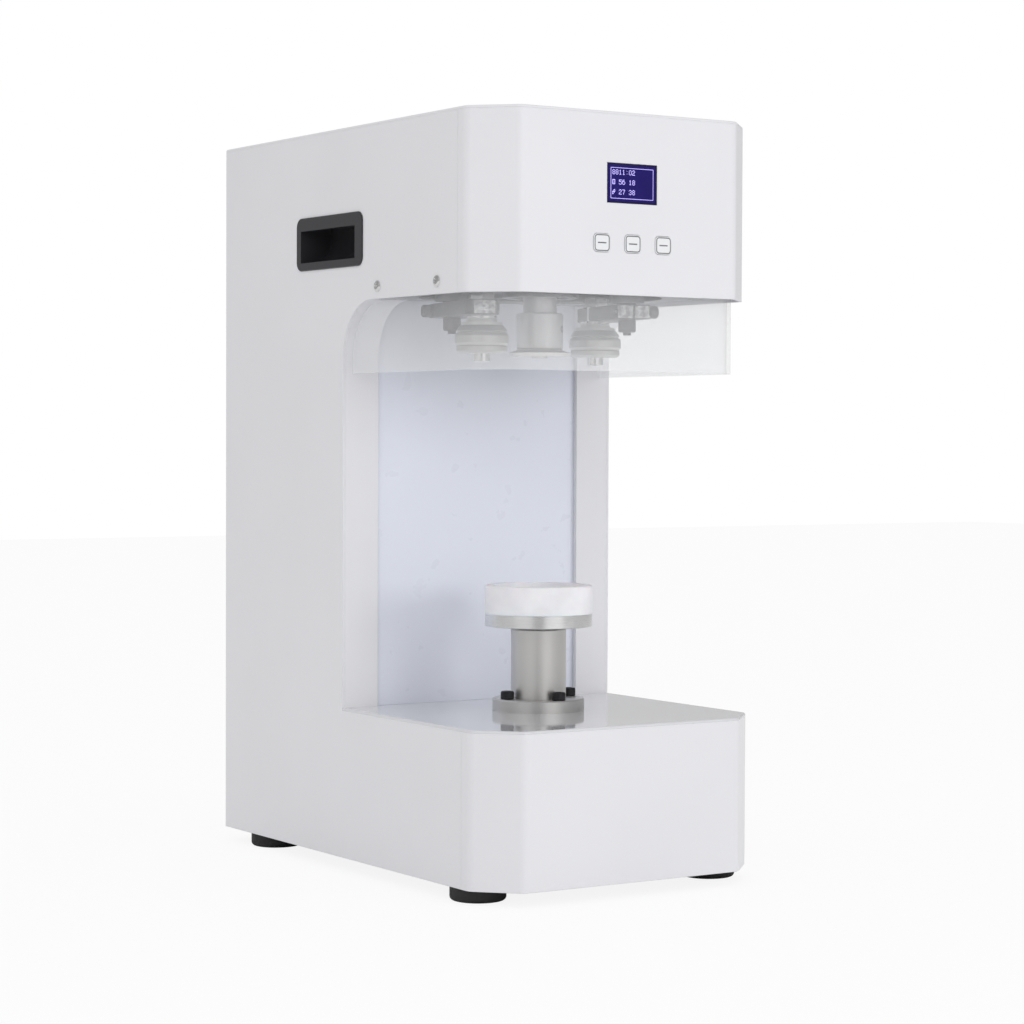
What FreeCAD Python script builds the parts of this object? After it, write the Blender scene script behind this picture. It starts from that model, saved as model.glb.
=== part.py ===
import FreeCAD, Part
import math
import os

# Tabletop can seamer, in millimetres.
# X runs across the machine, Y runs from the front to the back, Z is up.
# The origin is on the table, under the middle of the machine.

V = FreeCAD.Vector

# ---------------------------------------------------------------- driving sizes

# casing
body_width = 240.0          # over the two side panels
body_depth = 396.2          # base front to rear cover
casing_height = 541.0       # bottom plate to top cover, without the feet
base_reach = 7.6            # the base stands this much further forward than the head
base_height = 111.4         # bottom plate to the working deck
head_height = 128.0         # head underside to the top of the casing
head_datum = 413.0          # levels in the head count from this far below its underside
throat_reach = 198.6        # head front to the front of the column
corner_chamfer = 28.0       # leg of the 45 degree front corners
corner_bend = 9.0           # outside bend radius where a chamfer meets a wall
throat_radius = 42.0        # curve from the column up into the head
throat_flange = 30.5        # width of the white band each side of the column
panel_recess = 4.0          # the throat panel lies this far behind the bands
sheet = 2.0                 # steel sheet of the casing
edge_round = 1.5            # softened outside edge of the deck and the top cover
cover_return = 38.0         # the front covers run this far back along the sides
rear_trim = 3.0             # how far the rear inlet stands out of the rear cover

# feet
foot_height = 10.0
foot_diameter = 40.0
foot_round = 3.0
foot_lip = 2.5              # retaining lip on the stem of a foot
foot_inset_x = 20.0         # foot centre from the side of the casing
foot_front = 47.6           # foot centre behind the base front
foot_rear = 49.6            # foot centre in front of the rear cover
foot_screw_diameter = 14.0

# running clearances
fit_gap = 0.05              # radial, between a shaft and its bore
air_gap = 0.3               # between pieces that move past each other
key_gap = 0.3               # round a key cap in its window

# spindle
spindle_setback = 116.0     # spindle axis behind the head front
spindle_diameter = 25.0
spindle_top = 515.0         # heights on the spindle are above the bottom plate
holder_diameter = 34.5
holder_low = 377.5
holder_high = 404.5
holder_bevel = 1.2
chuck_diameter = 46.0
chuck_thickness = 5.0
chuck_rim = 2.6
chuck_bolt_diameter = 11.0
chuck_bolt_head = 2.2
bearing_diameter = 47.0
bearing_width = 12.0
bearing_seats = (420.0, 448.0)
housing_diameter = 56.0
housing_low = 415.5
housing_high = 461.5
housing_flange_diameter = 84.0
housing_flange = 5.0

# spindle drive
pulley_level = 493.0
pulley_width = 16.0
pulley_lip = 2.0
spindle_pulley_diameter = 80.0
motor_pulley_diameter = 40.0
belt_thickness = 2.4
motor_setback = 97.4        # motor axis behind the column front
motor_diameter = 92.0
motor_length = 128.0
motor_shaft_diameter = 14.0
motor_pilot_diameter = 30.0
motor_cap = 12.0
motor_bore = 40.0           # how deep the shaft goes into the motor
motor_fin_count = 18
motor_fin_depth = 3.0

# frame inside the casing
head_plate_level = 425.0
head_plate_thickness = 10.0
head_plate_setback = 44.0   # front edge behind the head front
head_plate_gap = 4.0        # from the plate to the curve and the bands of the throat
head_plate_step = 6.0       # its chamfered corners are this much smaller than the casing's
upright_inset = 5.5         # outer faces of the uprights inside the throat bands
upright_thickness = 6.0
upright_setback = 15.4      # behind the column front
upright_depth = 130.0
upright_window = 60.0
upright_margin = 30.0       # steel round the windows of the uprights
upright_foot = 20.0
cross_plate_level = 255.0
cross_plate_thickness = 6.0
cross_plate_inset = 10.0

# seaming arms; the second arm is the first turned half round about the spindle
swing_x = 59.0              # swing shaft from the spindle axis
swing_y = -28.0
swing_shaft_diameter = 13.0
swing_shaft_low = 391.0
swing_shaft_nut = 2.2
swing_shaft_nut_diameter = 6.0
swing_boss_diameter = 25.0
swing_boss_low = 412.5
swing_boss_high = 446.0
arm_lean = 13.0             # the arm points this far outwards from straight back
arm_width = 26.0
arm_thickness = 10.5
arm_level = 400.5
arm_nose = 14.0             # arm in front of the swing shaft
arm_tail = 73.0             # arm behind the swing shaft
arm_slit = 1.6
clamp_screw_diameter = 5.0
clamp_screw_head = 9.4
clamp_screw_head_length = 6.5
clamp_screw_setback = 3.8   # screw axis behind the end of the arm
roller_reach = 46.0         # roller pin behind the swing shaft, along the arm
roller_offset = 7.2         # and this much nearer the spindle
roller_diameter = 39.0
roller_height = 20.0
roller_low = 373.5
roller_hub_diameter = 30.0
roller_neck_diameter = 22.0
roller_step = 2.2           # height of the step on top of the roller
roller_collar = 2.0         # collar of the pin under the arm
roller_pin_diameter = 12.5
roller_pin_low = 367.0
roller_nut_across = 17.0
roller_nut_height = 6.5
swing_angle = 26.0          # from open to the finished seam

# seaming cams
lever_x = -20.0             # lever end from the swing shaft, arm open
lever_y = 25.0
lever_level = 473.5
lever_thickness = 9.0
lever_hub_diameter = 24.0
lever_end_diameter = 15.0
follower_diameter = 16.0
follower_height = 9.0
swing_cam_x = 53.7          # cam shaft from the spindle axis
swing_cam_y = 21.1
swing_cam_turn = 150.0      # cam turn that closes the arm
cam_thickness = 8.0
cam_hub_diameter = 16.0
cam_hub_rise = 5.0          # hub above the cam
cam_holes = 3               # lightening holes
cam_hole_diameter = 11.0
cam_hole_circle = 34.0
cam_hole_turn = 40.0        # of the first hole from the cam's start
cam_gap = 0.25              # between a cam and its follower
gearmotor_diameter = 56.0
gearmotor_length = 26.0
gearmotor_shaft_diameter = 7.0
gearmotor_shaft_length = 16.0
gearmotor_nose = 2.0
gearmotor_nose_diameter = 20.0
gearmotor_bore = 17.0       # how deep the shaft goes into the housing
gearmotor_waist = 1.0       # depth of the groove round the housing
gearmotor_round = 1.5
spring_wire = 2.2
spring_turns = 4

# can lift
tray_travel = 14.0          # from loading to clamping the can
lift_cam_turn = 150.0
lift_axis_level = 40.0      # cam shaft above the bottom plate
lift_base_radius = 20.0
lift_follower_diameter = 18.0
lift_follower_width = 8.0
lift_pin_diameter = 8.0
pedestal_flange_diameter = 68.0
pedestal_flange = 9.0
pedestal_diameter = 41.0
pedestal_top = 171.5
rod_diameter = 28.0
rod_shoulder_gap = 2.0      # dark gap between the pedestal and the tray
screw_circle = 54.5
screw_count = 4
screw_head_diameter = 10.0
screw_head_height = 6.0
screw_shank_diameter = 6.0
screw_socket_across = 5.0
tray_diameter = 79.5
tray_thickness = 9.5
cup_height = 21.0
cup_recess_diameter = 67.0
cup_recess_depth = 6.0
cup_round = 1.5
tray_bearing_diameter = 35.0
tray_bearing_width = 8.0
tray_stub_diameter = 15.0
lift_frame_width = 120.0
lift_frame_depth = 90.0
lift_frame_thickness = 8.0
lift_leg_thickness = 6.0
bottom_thickness = 3.0

# clear guard
guard_inset = 7.8           # outside of the guard from the outside of the head
guard_thickness = 3.0
guard_drop = 53.2           # below the head underside
guard_rise = 16.0           # above it, inside the head
guard_column_gap = 1.2
guard_screw_front = 64.9    # front pair behind the head front
guard_screw_rear = 51.0     # rear pair in front of the column
guard_screw_rise = 9.0
guard_screw_diameter = 4.0
guard_screw_head = 8.4
guard_screw_head_height = 1.6
guard_nut_height = 3.0
guard_screw_end = 1.0       # thread that shows past the nut
spacer_diameter = 9.0

# head underside
underside_inset = 12.0
underside_lift = 2.5        # above the lower edge of the head
mouth_share = 0.75          # round opening for the seaming arms, of the body's width
bracket_gap = 2.0           # from the mouth to the brackets under the head plate
bracket_length = 40.0
bracket_foot = 8.0

# display and keys
display_width = 42.8
display_height = 27.9
display_x = 0.6
display_rise = 78.2         # display centre above the head underside
display_depth = 5.0
display_sink = 0.2
display_rim = 3.0
display_gap = 0.1           # round the glass in its window
key_width = 13.7
key_height = 12.6
key_corner = 3.0
key_pitch = 26.4
key_x = 1.1                 # middle key
key_rise = 36.0
key_proud = 0.7
key_travel = 0.5
key_rim = 1.2
key_rim_thickness = 1.0
key_stem_diameter = 5.0
board_width = 112.0
board_height = 84.0
board_thickness = 1.6
board_setback = 12.0
board_rise = 58.0
post_diameter = 6.0
post_inset = 6.0            # posts from the edges of the board
switch_height = 4.0
switch_width = 6.0
relay_count = 3
relay_pitch = 22.0
relay_width = 15.0
relay_height = 18.0
relay_depth = 15.0
terminal_height = 10.0
capacitor_diameter = 16.0
capacitor_length = 20.0
chip_width = 20.0
chip_height = 3.0

# side handles
handle_setback = 20.4       # handle centre behind the column front
handle_level = 458.0
handle_length = 100.0
handle_height = 40.0
handle_corner = 7.0
handle_proud = 1.2
handle_rim_top = 10.0
handle_rim_bottom = 6.0
handle_rim_front = 10.5
handle_rim_rear = 7.0
handle_depth = 26.0
handle_wall = 2.0
handle_hook = 6.0           # the pocket rises this far behind the top rim
handle_hook_wall = 5.0      # depth of the top rim in front of the hook
handle_hook_round = 5.0
handle_sill = 8.0           # flat stretch at the foot of the pocket

# rear cover
vent_count = 9
vent_length = 90.0
vent_height = 4.0
vent_pitch = 10.0
vent_low = 330.0
inlet_x = -62.0
inlet_level = 62.0
inlet_width = 30.0
inlet_height = 58.0
inlet_flange = 4.0
inlet_depth = 24.0
inlet_gap = 0.2             # round the inlet in its window
inlet_corner = 3.0
socket_width = 25.0
socket_height = 17.0
socket_depth = 15.0
socket_corner = 4.5
pin_pitch = 7.0
pin_width = 2.0
pin_height = 4.0
pin_sink = 4.0              # tips of the pins behind the socket's mouth
rocker_width = 11.0
rocker_height = 18.0
rocker_depth = 9.0
rocker_tilt = 8.0
rocker_dip = 1.4            # how far the middle lies behind the two ends
rocker_sink = 1.6
rocker_pivot_diameter = 3.0
well_gap = 0.4              # round the rocker in its well
rocker_level = 19.0         # rocker centre above the inlet centre
socket_level = -11.0

# ---------------------------------------------------------------- derived places

half_width = body_width / 2
total_depth = body_depth + rear_trim
base_front = -total_depth / 2
head_front = base_front + base_reach
rear = base_front + body_depth
floor = foot_height
top = floor + casing_height
deck = floor + base_height
underside = top - head_height
head_zero = underside - head_datum
column_front = head_front + throat_reach
panel_front = column_front + panel_recess
spindle_y = head_front + spindle_setback
motor_y = column_front + motor_setback
arm_x = swing_x
arm_y = spindle_y + swing_y
handle_y = column_front + handle_setback
inner_half = half_width - sheet
band_inner = half_width - throat_flange
mouth_diameter = body_width * mouth_share
plate_low = head_zero + head_plate_level
plate_high = plate_low + head_plate_thickness


# ---------------------------------------------------------------- small helpers

def block(x0, x1, y0, y1, z0, z1):
    """A box between two corners."""
    return Part.makeBox(x1 - x0, y1 - y0, z1 - z0, V(x0, y0, z0))


def rod(x, y, z0, z1, diameter):
    """An upright cylinder."""
    return Part.makeCylinder(diameter / 2, z1 - z0, V(x, y, z0))


def rod_x(x0, x1, y, z, diameter):
    """A cylinder along X."""
    return Part.makeCylinder(diameter / 2, x1 - x0, V(x0, y, z), V(1, 0, 0))


def rod_y(x, y0, y1, z, diameter):
    """A cylinder along Y."""
    return Part.makeCylinder(diameter / 2, y1 - y0, V(x, y0, z), V(0, 1, 0))


def tube(x, y, z0, z1, outside, bore):
    """An upright ring."""
    return rod(x, y, z0, z1, outside).cut(rod(x, y, z0 - 1, z1 + 1, bore))


def prism(points, z0, z1):
    """A plan outline raised from z0 to z1."""
    wire = Part.makePolygon([V(x, y, z0) for x, y in points + points[:1]])
    return Part.Face(wire).extrude(V(0, 0, z1 - z0))


def hexagon(x, y, across, z0, z1):
    """An upright hexagonal bar of a given width across its flats."""
    radius = across / math.sqrt(3)
    turns = [math.radians(60 * step) for step in range(6)]
    return prism([(x + radius * math.cos(a), y + radius * math.sin(a)) for a in turns], z0, z1)


def side_prism(edges, x0, x1):
    """A wire of edges in the YZ plane at x0, carried to x1."""
    return Part.Face(Part.Wire(edges)).extrude(V(x1 - x0, 0, 0))


def lines(points):
    """Straight edges through a row of points."""
    return [Part.makeLine(a, b) for a, b in zip(points, points[1:])]


def upright_edges(shape, near):
    """The vertical edges of a shape that pass the plan test."""
    found = []
    for edge in shape.Edges:
        a, b = edge.Vertexes[0].Point, edge.Vertexes[-1].Point
        if abs(a.x - b.x) < 1e-6 and abs(a.y - b.y) < 1e-6 and near(a.x, a.y):
            found.append(edge)
    return found


def level_edges(shape, z):
    """The edges of a shape that lie at one height."""
    return [e for e in shape.Edges if abs(e.BoundBox.ZMin - z) < 1e-6 and abs(e.BoundBox.ZMax - z) < 1e-6]


def edges_at_y(shape, y):
    """The edges of a shape that lie in one upright plane across the machine."""
    return [e for e in shape.Edges if abs(e.BoundBox.YMin - y) < 1e-6 and abs(e.BoundBox.YMax - y) < 1e-6]


def revolve(profile, x, y):
    """A closed (radius, height) profile turned about the upright line at x, y."""
    wire = Part.makePolygon([V(x + r, y, z) for r, z in profile + profile[:1]])
    return Part.Face(wire).revolve(V(x, y, 0), V(0, 0, 1), 360)


def footprint(front, back, z0, z1, inset=0.0, bend=corner_bend):
    """The plan of the casing with its chamfered front corners, as a solid."""
    half = half_width - inset
    leg = corner_chamfer - inset * (2 - math.sqrt(2))
    y = front + inset
    right = [(half - leg, y), (half, y + leg), (half, back)]
    left = [(-half, back), (-half, y + leg), (-half + leg, y)]
    body = prism(left + right, z0, z1)
    if bend > inset:
        corners = upright_edges(body, lambda a, b: b < y + leg + 1)
        body = body.makeFillet(bend - inset, corners)
    return body


def rounded_block(x0, x1, y0, y1, z0, z1, corner):
    """A box whose four edges along Y are rounded."""
    body = block(x0, x1, y0, y1, z0, z1)
    along = [e for e in body.Edges if e.BoundBox.YLength > (y1 - y0) - 1e-6 and e.BoundBox.XLength < 1e-6]
    return body.makeFillet(corner, along)


def half_turn(shape):
    """The same shape turned half round about the spindle axis."""
    turned = shape.copy()
    turned.rotate(V(0, spindle_y, 0), V(0, 0, 1), 180)
    return turned


def mirror_x(shape):
    """The same shape on the other side of the machine."""
    return shape.mirror(V(0, 0, 0), V(1, 0, 0))


nodes = {}

# ---------------------------------------------------------------- casing

head_seam = head_front + cover_return
base_seam = base_front + cover_return
wall_top = top - sheet
deck_under = deck - sheet
curve_y = column_front - throat_radius
curve_z = underside - throat_radius
slope = math.sqrt(0.5)


def throat_curve(x, gap):
    """The quarter curve from the column into the head, set back by a gap."""
    radius = throat_radius + gap
    return Part.Arc(V(x, curve_y, curve_z + radius),
                    V(x, curve_y + radius * slope, curve_z + radius * slope),
                    V(x, curve_y + radius, curve_z)).toShape()


def side_wall(x0, x1):
    """The flat C-shaped side of the machine."""
    edges = [throat_curve(x0, 0.0)]
    edges += lines([V(x0, column_front, curve_z), V(x0, column_front, deck_under),
                    V(x0, base_seam, deck_under), V(x0, base_seam, floor),
                    V(x0, rear, floor), V(x0, rear, wall_top),
                    V(x0, head_seam, wall_top), V(x0, head_seam, underside),
                    V(x0, curve_y, underside)])
    return side_prism(edges, x0, x1)


def throat_band(x0, x1):
    """The band bent inwards along the column and round into the head."""
    edges = [throat_curve(x0, 0.0), throat_curve(x0, sheet)]
    edges += lines([V(x0, column_front, curve_z), V(x0, column_front, deck_under),
                    V(x0, column_front + sheet, deck_under), V(x0, column_front + sheet, curve_z)])
    edges += lines([V(x0, curve_y, underside), V(x0, curve_y, underside + sheet)])
    return side_prism(Part.__sortEdges__(edges), x0, x1)


def band_return(x0, x1):
    """The lip that closes the step between the band and the throat panel."""
    edges = [throat_curve(x0, sheet)]
    edges += lines([V(x0, column_front + sheet, curve_z), V(x0, column_front + sheet, deck),
                    V(x0, panel_front, deck), V(x0, panel_front, underside + sheet),
                    V(x0, curve_y, underside + sheet)])
    return side_prism(edges, x0, x1)


handle_front = handle_y - handle_length / 2
handle_back = handle_y + handle_length / 2
handle_low = head_zero + handle_level - handle_height / 2
handle_high = handle_low + handle_height
pocket_front = handle_front + handle_rim_front
pocket_back = handle_back - handle_rim_rear
pocket_low = handle_low + handle_rim_bottom
pocket_high = handle_high - handle_rim_top


def handle_window(gap):
    """The opening that a handle cup drops into."""
    grow = handle_wall + gap
    return block(-half_width - sheet, -half_width + 2 * sheet, pocket_front - grow, pocket_back + grow,
                 pocket_low - grow, pocket_high + grow)


def guard_screw_places():
    """Y and Z of the two guard screws on one side."""
    z = underside + guard_screw_rise
    return [(head_front + guard_screw_front, z), (column_front - guard_screw_rear, z)]


def make_side_panel():
    """Left side wall, with the spacers that hold the guard."""
    panel = side_wall(-half_width, -inner_half)
    guard_face = -half_width + guard_inset
    for y, z in guard_screw_places():
        panel = panel.fuse(rod_x(-inner_half, guard_face, y, z, spacer_diameter))
        panel = panel.cut(rod_x(-half_width - 1, guard_face + 1, y, z, guard_screw_diameter + 0.2))
    return panel.cut(handle_window(0.2)).removeSplitter()


def make_throat_band():
    """Left band of the throat, welded inside the wall, with its lip."""
    band_end = -half_width + throat_flange
    band = throat_band(-inner_half, band_end)
    return band.fuse(band_return(band_end - sheet, band_end)).removeSplitter()


nodes["left_side_panel"] = make_side_panel()
nodes["right_side_panel"] = mirror_x(nodes["left_side_panel"])
left_band = make_throat_band()
nodes["throat_bands"] = Part.makeCompound([left_band, mirror_x(left_band)])


def front_shell(front, seam, z0, z1):
    """A front wall with its chamfered corners and short side returns."""
    outside = footprint(front, seam, z0, z1)
    inside = footprint(front, seam + 1, z0 - 1, z1 + 1, sheet)
    return outside.cut(inside)


display_level = underside + display_rise
key_level = underside + key_rise
board_level = underside + board_rise
board_front = head_front + board_setback
key_places = [key_x - key_pitch, key_x, key_x + key_pitch]


def front_panel_block(x, z, width, height, y0, y1):
    """A block centred on a place of the head front."""
    return block(x - width / 2, x + width / 2, y0, y1, z - height / 2, z + height / 2)


def key_block(x, grow, y0, y1):
    """The rounded outline of a key, grown all round."""
    half, tall = key_width / 2 + grow, key_height / 2 + grow
    return rounded_block(x - half, x + half, y0, y1, key_level - tall, key_level + tall, key_corner + grow)


def make_head_cover():
    """Head front: windows for the display and the three keys, posts for the board."""
    outside, inside = head_front - 1, head_front + sheet + 1
    cover = front_shell(head_front, head_seam, underside, wall_top)
    cover = cover.cut(front_panel_block(display_x, display_level, display_width + 2 * display_gap,
                                        display_height + 2 * display_gap, outside, inside))
    for x in key_places:
        cover = cover.cut(key_block(x, key_gap, outside, inside))
    post_x = board_width / 2 - post_inset
    post_z = board_height / 2 - post_inset
    for x in (-post_x, post_x):
        for z in (board_level - post_z, board_level + post_z):
            cover = cover.fuse(rod_y(x, head_front + sheet, board_front, z, post_diameter))
    return cover


nodes["head_front_cover"] = make_head_cover()
nodes["base_front_cover"] = front_shell(base_front, base_seam, floor, deck_under)


def flange_screw_places():
    """Plan places of the pedestal's screws, one straight out to each side."""
    turns = [2 * math.pi * step / screw_count for step in range(screw_count)]
    return [(screw_circle / 2 * math.cos(a), spindle_y + screw_circle / 2 * math.sin(a)) for a in turns]


def make_top_cover():
    """Top plate with a softened edge."""
    cover = footprint(head_front, rear, wall_top, top)
    return cover.makeFillet(edge_round, level_edges(cover, top))


def make_deck():
    """Working deck on the base, with a tongue under the throat panel and the pedestal hole."""
    plate = footprint(base_front, column_front, deck_under, deck)
    rim = [e for e in level_edges(plate, deck) if e.BoundBox.YMax < column_front - 1e-6]
    sides = [e for e in level_edges(plate, deck) if e.BoundBox.XLength < 1e-6]
    plate = plate.makeFillet(edge_round, rim + sides)
    tongue = half_width - throat_flange
    plate = plate.fuse(block(-tongue, tongue, column_front, panel_front + sheet, deck_under, deck))
    for x, y in flange_screw_places():
        plate = plate.cut(rod(x, y, deck_under - 1, deck + 1, screw_shank_diameter + 0.4))
    return plate.cut(rod(0, spindle_y, deck_under - 1, deck + 1, pedestal_diameter + 1)).removeSplitter()


nodes["top_cover"] = make_top_cover()
nodes["base_deck"] = make_deck()

nodes["throat_back_panel"] = block(-band_inner, band_inner, panel_front, panel_front + sheet, deck,
                                   underside + underside_lift)


def make_underside():
    """Plate that closes the head from below, inside the guard, with a round mouth."""
    low = underside + underside_lift
    half = half_width - underside_inset
    plate = footprint(head_front, curve_y - 0.5, low, low + sheet, underside_inset, 0)
    back = block(-band_inner, band_inner, curve_y - 1, panel_front + sheet, low, low + sheet)
    plate = plate.fuse(back)
    bracket_inner = mouth_diameter / 2 + bracket_gap
    bracket_outer = bracket_inner + bracket_foot
    y0, y1 = spindle_y - bracket_length / 2, spindle_y + bracket_length / 2
    web = block(bracket_inner, bracket_inner + sheet, y0, y1, low, plate_low)
    flange = block(bracket_inner, bracket_outer, y0, y1, plate_low - sheet, plate_low)
    plate = plate.fuse([web, flange, mirror_x(web), mirror_x(flange)])
    return plate.cut(rod(0, spindle_y, low - 1, low + sheet + 1, mouth_diameter)).removeSplitter()


nodes["head_underside_plate"] = make_underside()


def make_rear_cover():
    """Rear plate with a field of vent slots and the window of the power inlet."""
    plate = block(-inner_half, inner_half, rear - sheet, rear, floor, wall_top)
    for row in range(vent_count):
        z = floor + vent_low + row * vent_pitch
        slot = block(-vent_length / 2, vent_length / 2, rear - sheet - 1, rear + 1, z, z + vent_height)
        slot = slot.fuse([rod_y(x, rear - sheet - 1, rear + 1, z + vent_height / 2, vent_height)
                          for x in (-vent_length / 2, vent_length / 2)])
        plate = plate.cut(slot)
    half, tall = inlet_width / 2 + inlet_gap, inlet_height / 2 + inlet_gap
    level = floor + inlet_level
    return plate.cut(block(inlet_x - half, inlet_x + half, rear - sheet - 1, rear + 1,
                           level - tall, level + tall))


nodes["rear_cover"] = make_rear_cover()

foot_places = [(side * (half_width - foot_inset_x), y)
               for y in (base_front + foot_front, rear - foot_rear) for side in (-1, 1)]


def make_bottom_plate():
    """Bottom plate inside the walls, with the holes of the feet."""
    plate = footprint(base_front, rear - sheet, floor, floor + bottom_thickness, sheet)
    for x, y in foot_places:
        plate = plate.cut(rod(x, y, floor - 1, floor + bottom_thickness + 1, foot_screw_diameter))
    return plate


def make_foot(x, y):
    """One rubber foot with its moulded stem and retaining lip."""
    pad = rod(x, y, 0, floor, foot_diameter)
    pad = pad.makeFillet(foot_round, level_edges(pad, 0))
    stem = rod(x, y, floor, floor + bottom_thickness, foot_screw_diameter)
    lip_low = floor + bottom_thickness
    lip = rod(x, y, lip_low, lip_low + foot_lip, foot_screw_diameter + 2 * foot_lip)
    return pad.fuse([stem, lip]).removeSplitter()


nodes["bottom_plate"] = make_bottom_plate()
nodes["rubber_feet"] = Part.makeCompound([make_foot(x, y) for x, y in foot_places])


# ---------------------------------------------------------------- side handles

def make_handle():
    """Left handle: a rimmed cup, scooped inwards and hooked up behind its top rim."""
    face = -half_width - handle_proud
    rim = block(face, -half_width, handle_front, handle_back, handle_low, handle_high)
    across = [e for e in rim.Edges if e.BoundBox.XLength > handle_proud - 1e-6
              and e.BoundBox.YLength < 1e-6]
    rim = rim.makeFillet(handle_corner, [e for e in across if e.BoundBox.ZLength < 1e-6])
    outer = [e for e in rim.Edges if e.BoundBox.XMax < face + 1e-6]
    rim = rim.makeFillet(handle_proud * 0.6, outer)

    def scoop(grow):
        """The pocket: flat lip below, curved back, hooked up at the top."""
        y = pocket_front - grow
        mouth = face - 1 + grow
        deep = -half_width + handle_depth + grow
        behind = -half_width + handle_hook_wall - grow
        bottom, high = pocket_low - grow, pocket_high + grow
        crown = high + handle_hook
        sill = V(mouth + handle_sill, y, bottom)
        curve = V(deep - handle_hook_round, y, pocket_low + handle_sill)
        inner = V(deep, y, crown - grow - handle_hook_round)
        edges = lines([V(mouth, y, bottom), sill]) + [Part.Arc(sill, curve, inner).toShape()]
        edges += lines([inner, V(deep - handle_hook_round, y, crown), V(behind, y, crown),
                        V(behind, y, high), V(mouth, y, high), V(mouth, y, bottom)])
        return Part.Face(Part.Wire(edges)).extrude(V(0, pocket_back - pocket_front + 2 * grow, 0))

    inside = block(-half_width, 0, handle_front, handle_back, handle_low, top)
    return rim.fuse(scoop(handle_wall).common(inside)).cut(scoop(0.0)).removeSplitter()


nodes["handle_cup_left"] = make_handle()
nodes["handle_cup_right"] = mirror_x(nodes["handle_cup_left"])


# ---------------------------------------------------------------- clear guard

def make_guard():
    """Five clear panels cemented at their edges, open at the back and below."""
    low = underside - guard_drop
    high = underside + guard_rise
    end = column_front - guard_column_gap
    shell = footprint(head_front, end, low, high, guard_inset, 0)
    shell = shell.cut(footprint(head_front, end + 1, low - 1, high + 1, guard_inset + guard_thickness, 0))
    keep = [throat_curve(-half_width, -guard_column_gap)]
    keep += lines([V(-half_width, end, curve_z), V(-half_width, end, low), V(-half_width, base_front, low),
                   V(-half_width, base_front, high), V(-half_width, curve_y, high),
                   V(-half_width, curve_y, underside - guard_column_gap)])
    shell = shell.common(side_prism(keep, -half_width, half_width))
    for y, z in guard_screw_places():
        shell = shell.cut(rod_x(-half_width, half_width, y, z, guard_screw_diameter + 0.2))
    return shell


def make_guard_screw(y, z):
    """One pan-head screw through the left wall, the spacer and the guard."""
    inside = -half_width + guard_inset + guard_thickness
    head = rod_x(-half_width - guard_screw_head_height, -half_width, y, z, guard_screw_head)
    outer = [e for e in head.Edges if e.BoundBox.XMax < -half_width - guard_screw_head_height + 1e-6]
    head = head.makeFillet(guard_screw_head_height * 0.7, outer)
    shank = rod_x(-half_width, inside + guard_nut_height + guard_screw_end, y, z, guard_screw_diameter)
    nut = rod_x(inside, inside + guard_nut_height, y, z, guard_screw_head * 0.9)
    return head.fuse([shank, nut]).removeSplitter()


guard_screws = [make_guard_screw(y, z) for y, z in guard_screw_places()]
nodes["guard"] = make_guard()
nodes["guard_screws"] = Part.makeCompound(guard_screws + [mirror_x(s) for s in guard_screws])


# ---------------------------------------------------------------- display and keys

def make_display():
    """Display: glass in the window, wider carrier behind the wall, solder pins to the board."""
    wall = head_front + sheet
    glass = front_panel_block(display_x, display_level, display_width, display_height,
                              head_front + display_sink, wall)
    carrier = front_panel_block(display_x, display_level, display_width + 2 * display_rim,
                                display_height + 2 * display_rim, wall, wall + display_depth)
    body = glass.fuse(carrier)
    stand = display_width / 2 - 3
    for x in (display_x - stand, display_x + stand):
        body = body.fuse(rod_y(x, wall + display_depth, board_front, display_level, 4))
    return body.removeSplitter()


def make_key(x):
    """A key cap with a rim that stops it behind the wall and a stem for its switch."""
    proud = head_front - key_proud
    rim_face = head_front + sheet + air_gap
    rim_back = rim_face + key_rim_thickness
    cap = key_block(x, 0.0, proud, rim_face)
    cap = cap.makeFillet(key_proud * 0.5, edges_at_y(cap, proud))
    stem_end = board_front - switch_height - key_travel - air_gap
    stem = rod_y(x, rim_back, stem_end, key_level, key_stem_diameter)
    return cap.fuse([key_block(x, key_rim, rim_face, rim_back), stem]).removeSplitter()


def make_board():
    """Control board with its three key switches, relays, terminals and capacitor."""
    back = board_front + board_thickness
    board = front_panel_block(0, board_level, board_width, board_height, board_front, back)
    for x in key_places:
        base = front_panel_block(x, key_level, switch_width, switch_width,
                                 board_front - switch_height * 0.7, board_front)
        button = rod_y(x, board_front - switch_height, board_front, key_level, switch_width * 0.6)
        board = board.fuse([base, button])
    upper = board_level + board_height / 4
    for step in range(relay_count):
        x = -board_width / 2 + relay_pitch * (step + 0.9)
        board = board.fuse(front_panel_block(x, upper, relay_width, relay_height, back, back + relay_depth))
    terminals = front_panel_block(-board_width / 8, board_level - board_height * 0.39,
                                  board_width * 0.6, terminal_height, back, back + terminal_height)
    capacitor = rod_y(board_width / 3, back, back + capacitor_length, upper, capacitor_diameter)
    chip = front_panel_block(board_width / 4, board_level, chip_width, chip_width, back, back + chip_height)
    return board.fuse([terminals, capacitor, chip]).removeSplitter()


nodes["display_module"] = make_display()
nodes["key_left"], nodes["key_middle"], nodes["key_right"] = [make_key(x) for x in key_places]
nodes["control_board"] = make_board()


# ---------------------------------------------------------------- power inlet

rocker_y = rear + rear_trim - rocker_depth * 0.55
rocker_z = floor + inlet_level + rocker_level


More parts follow.
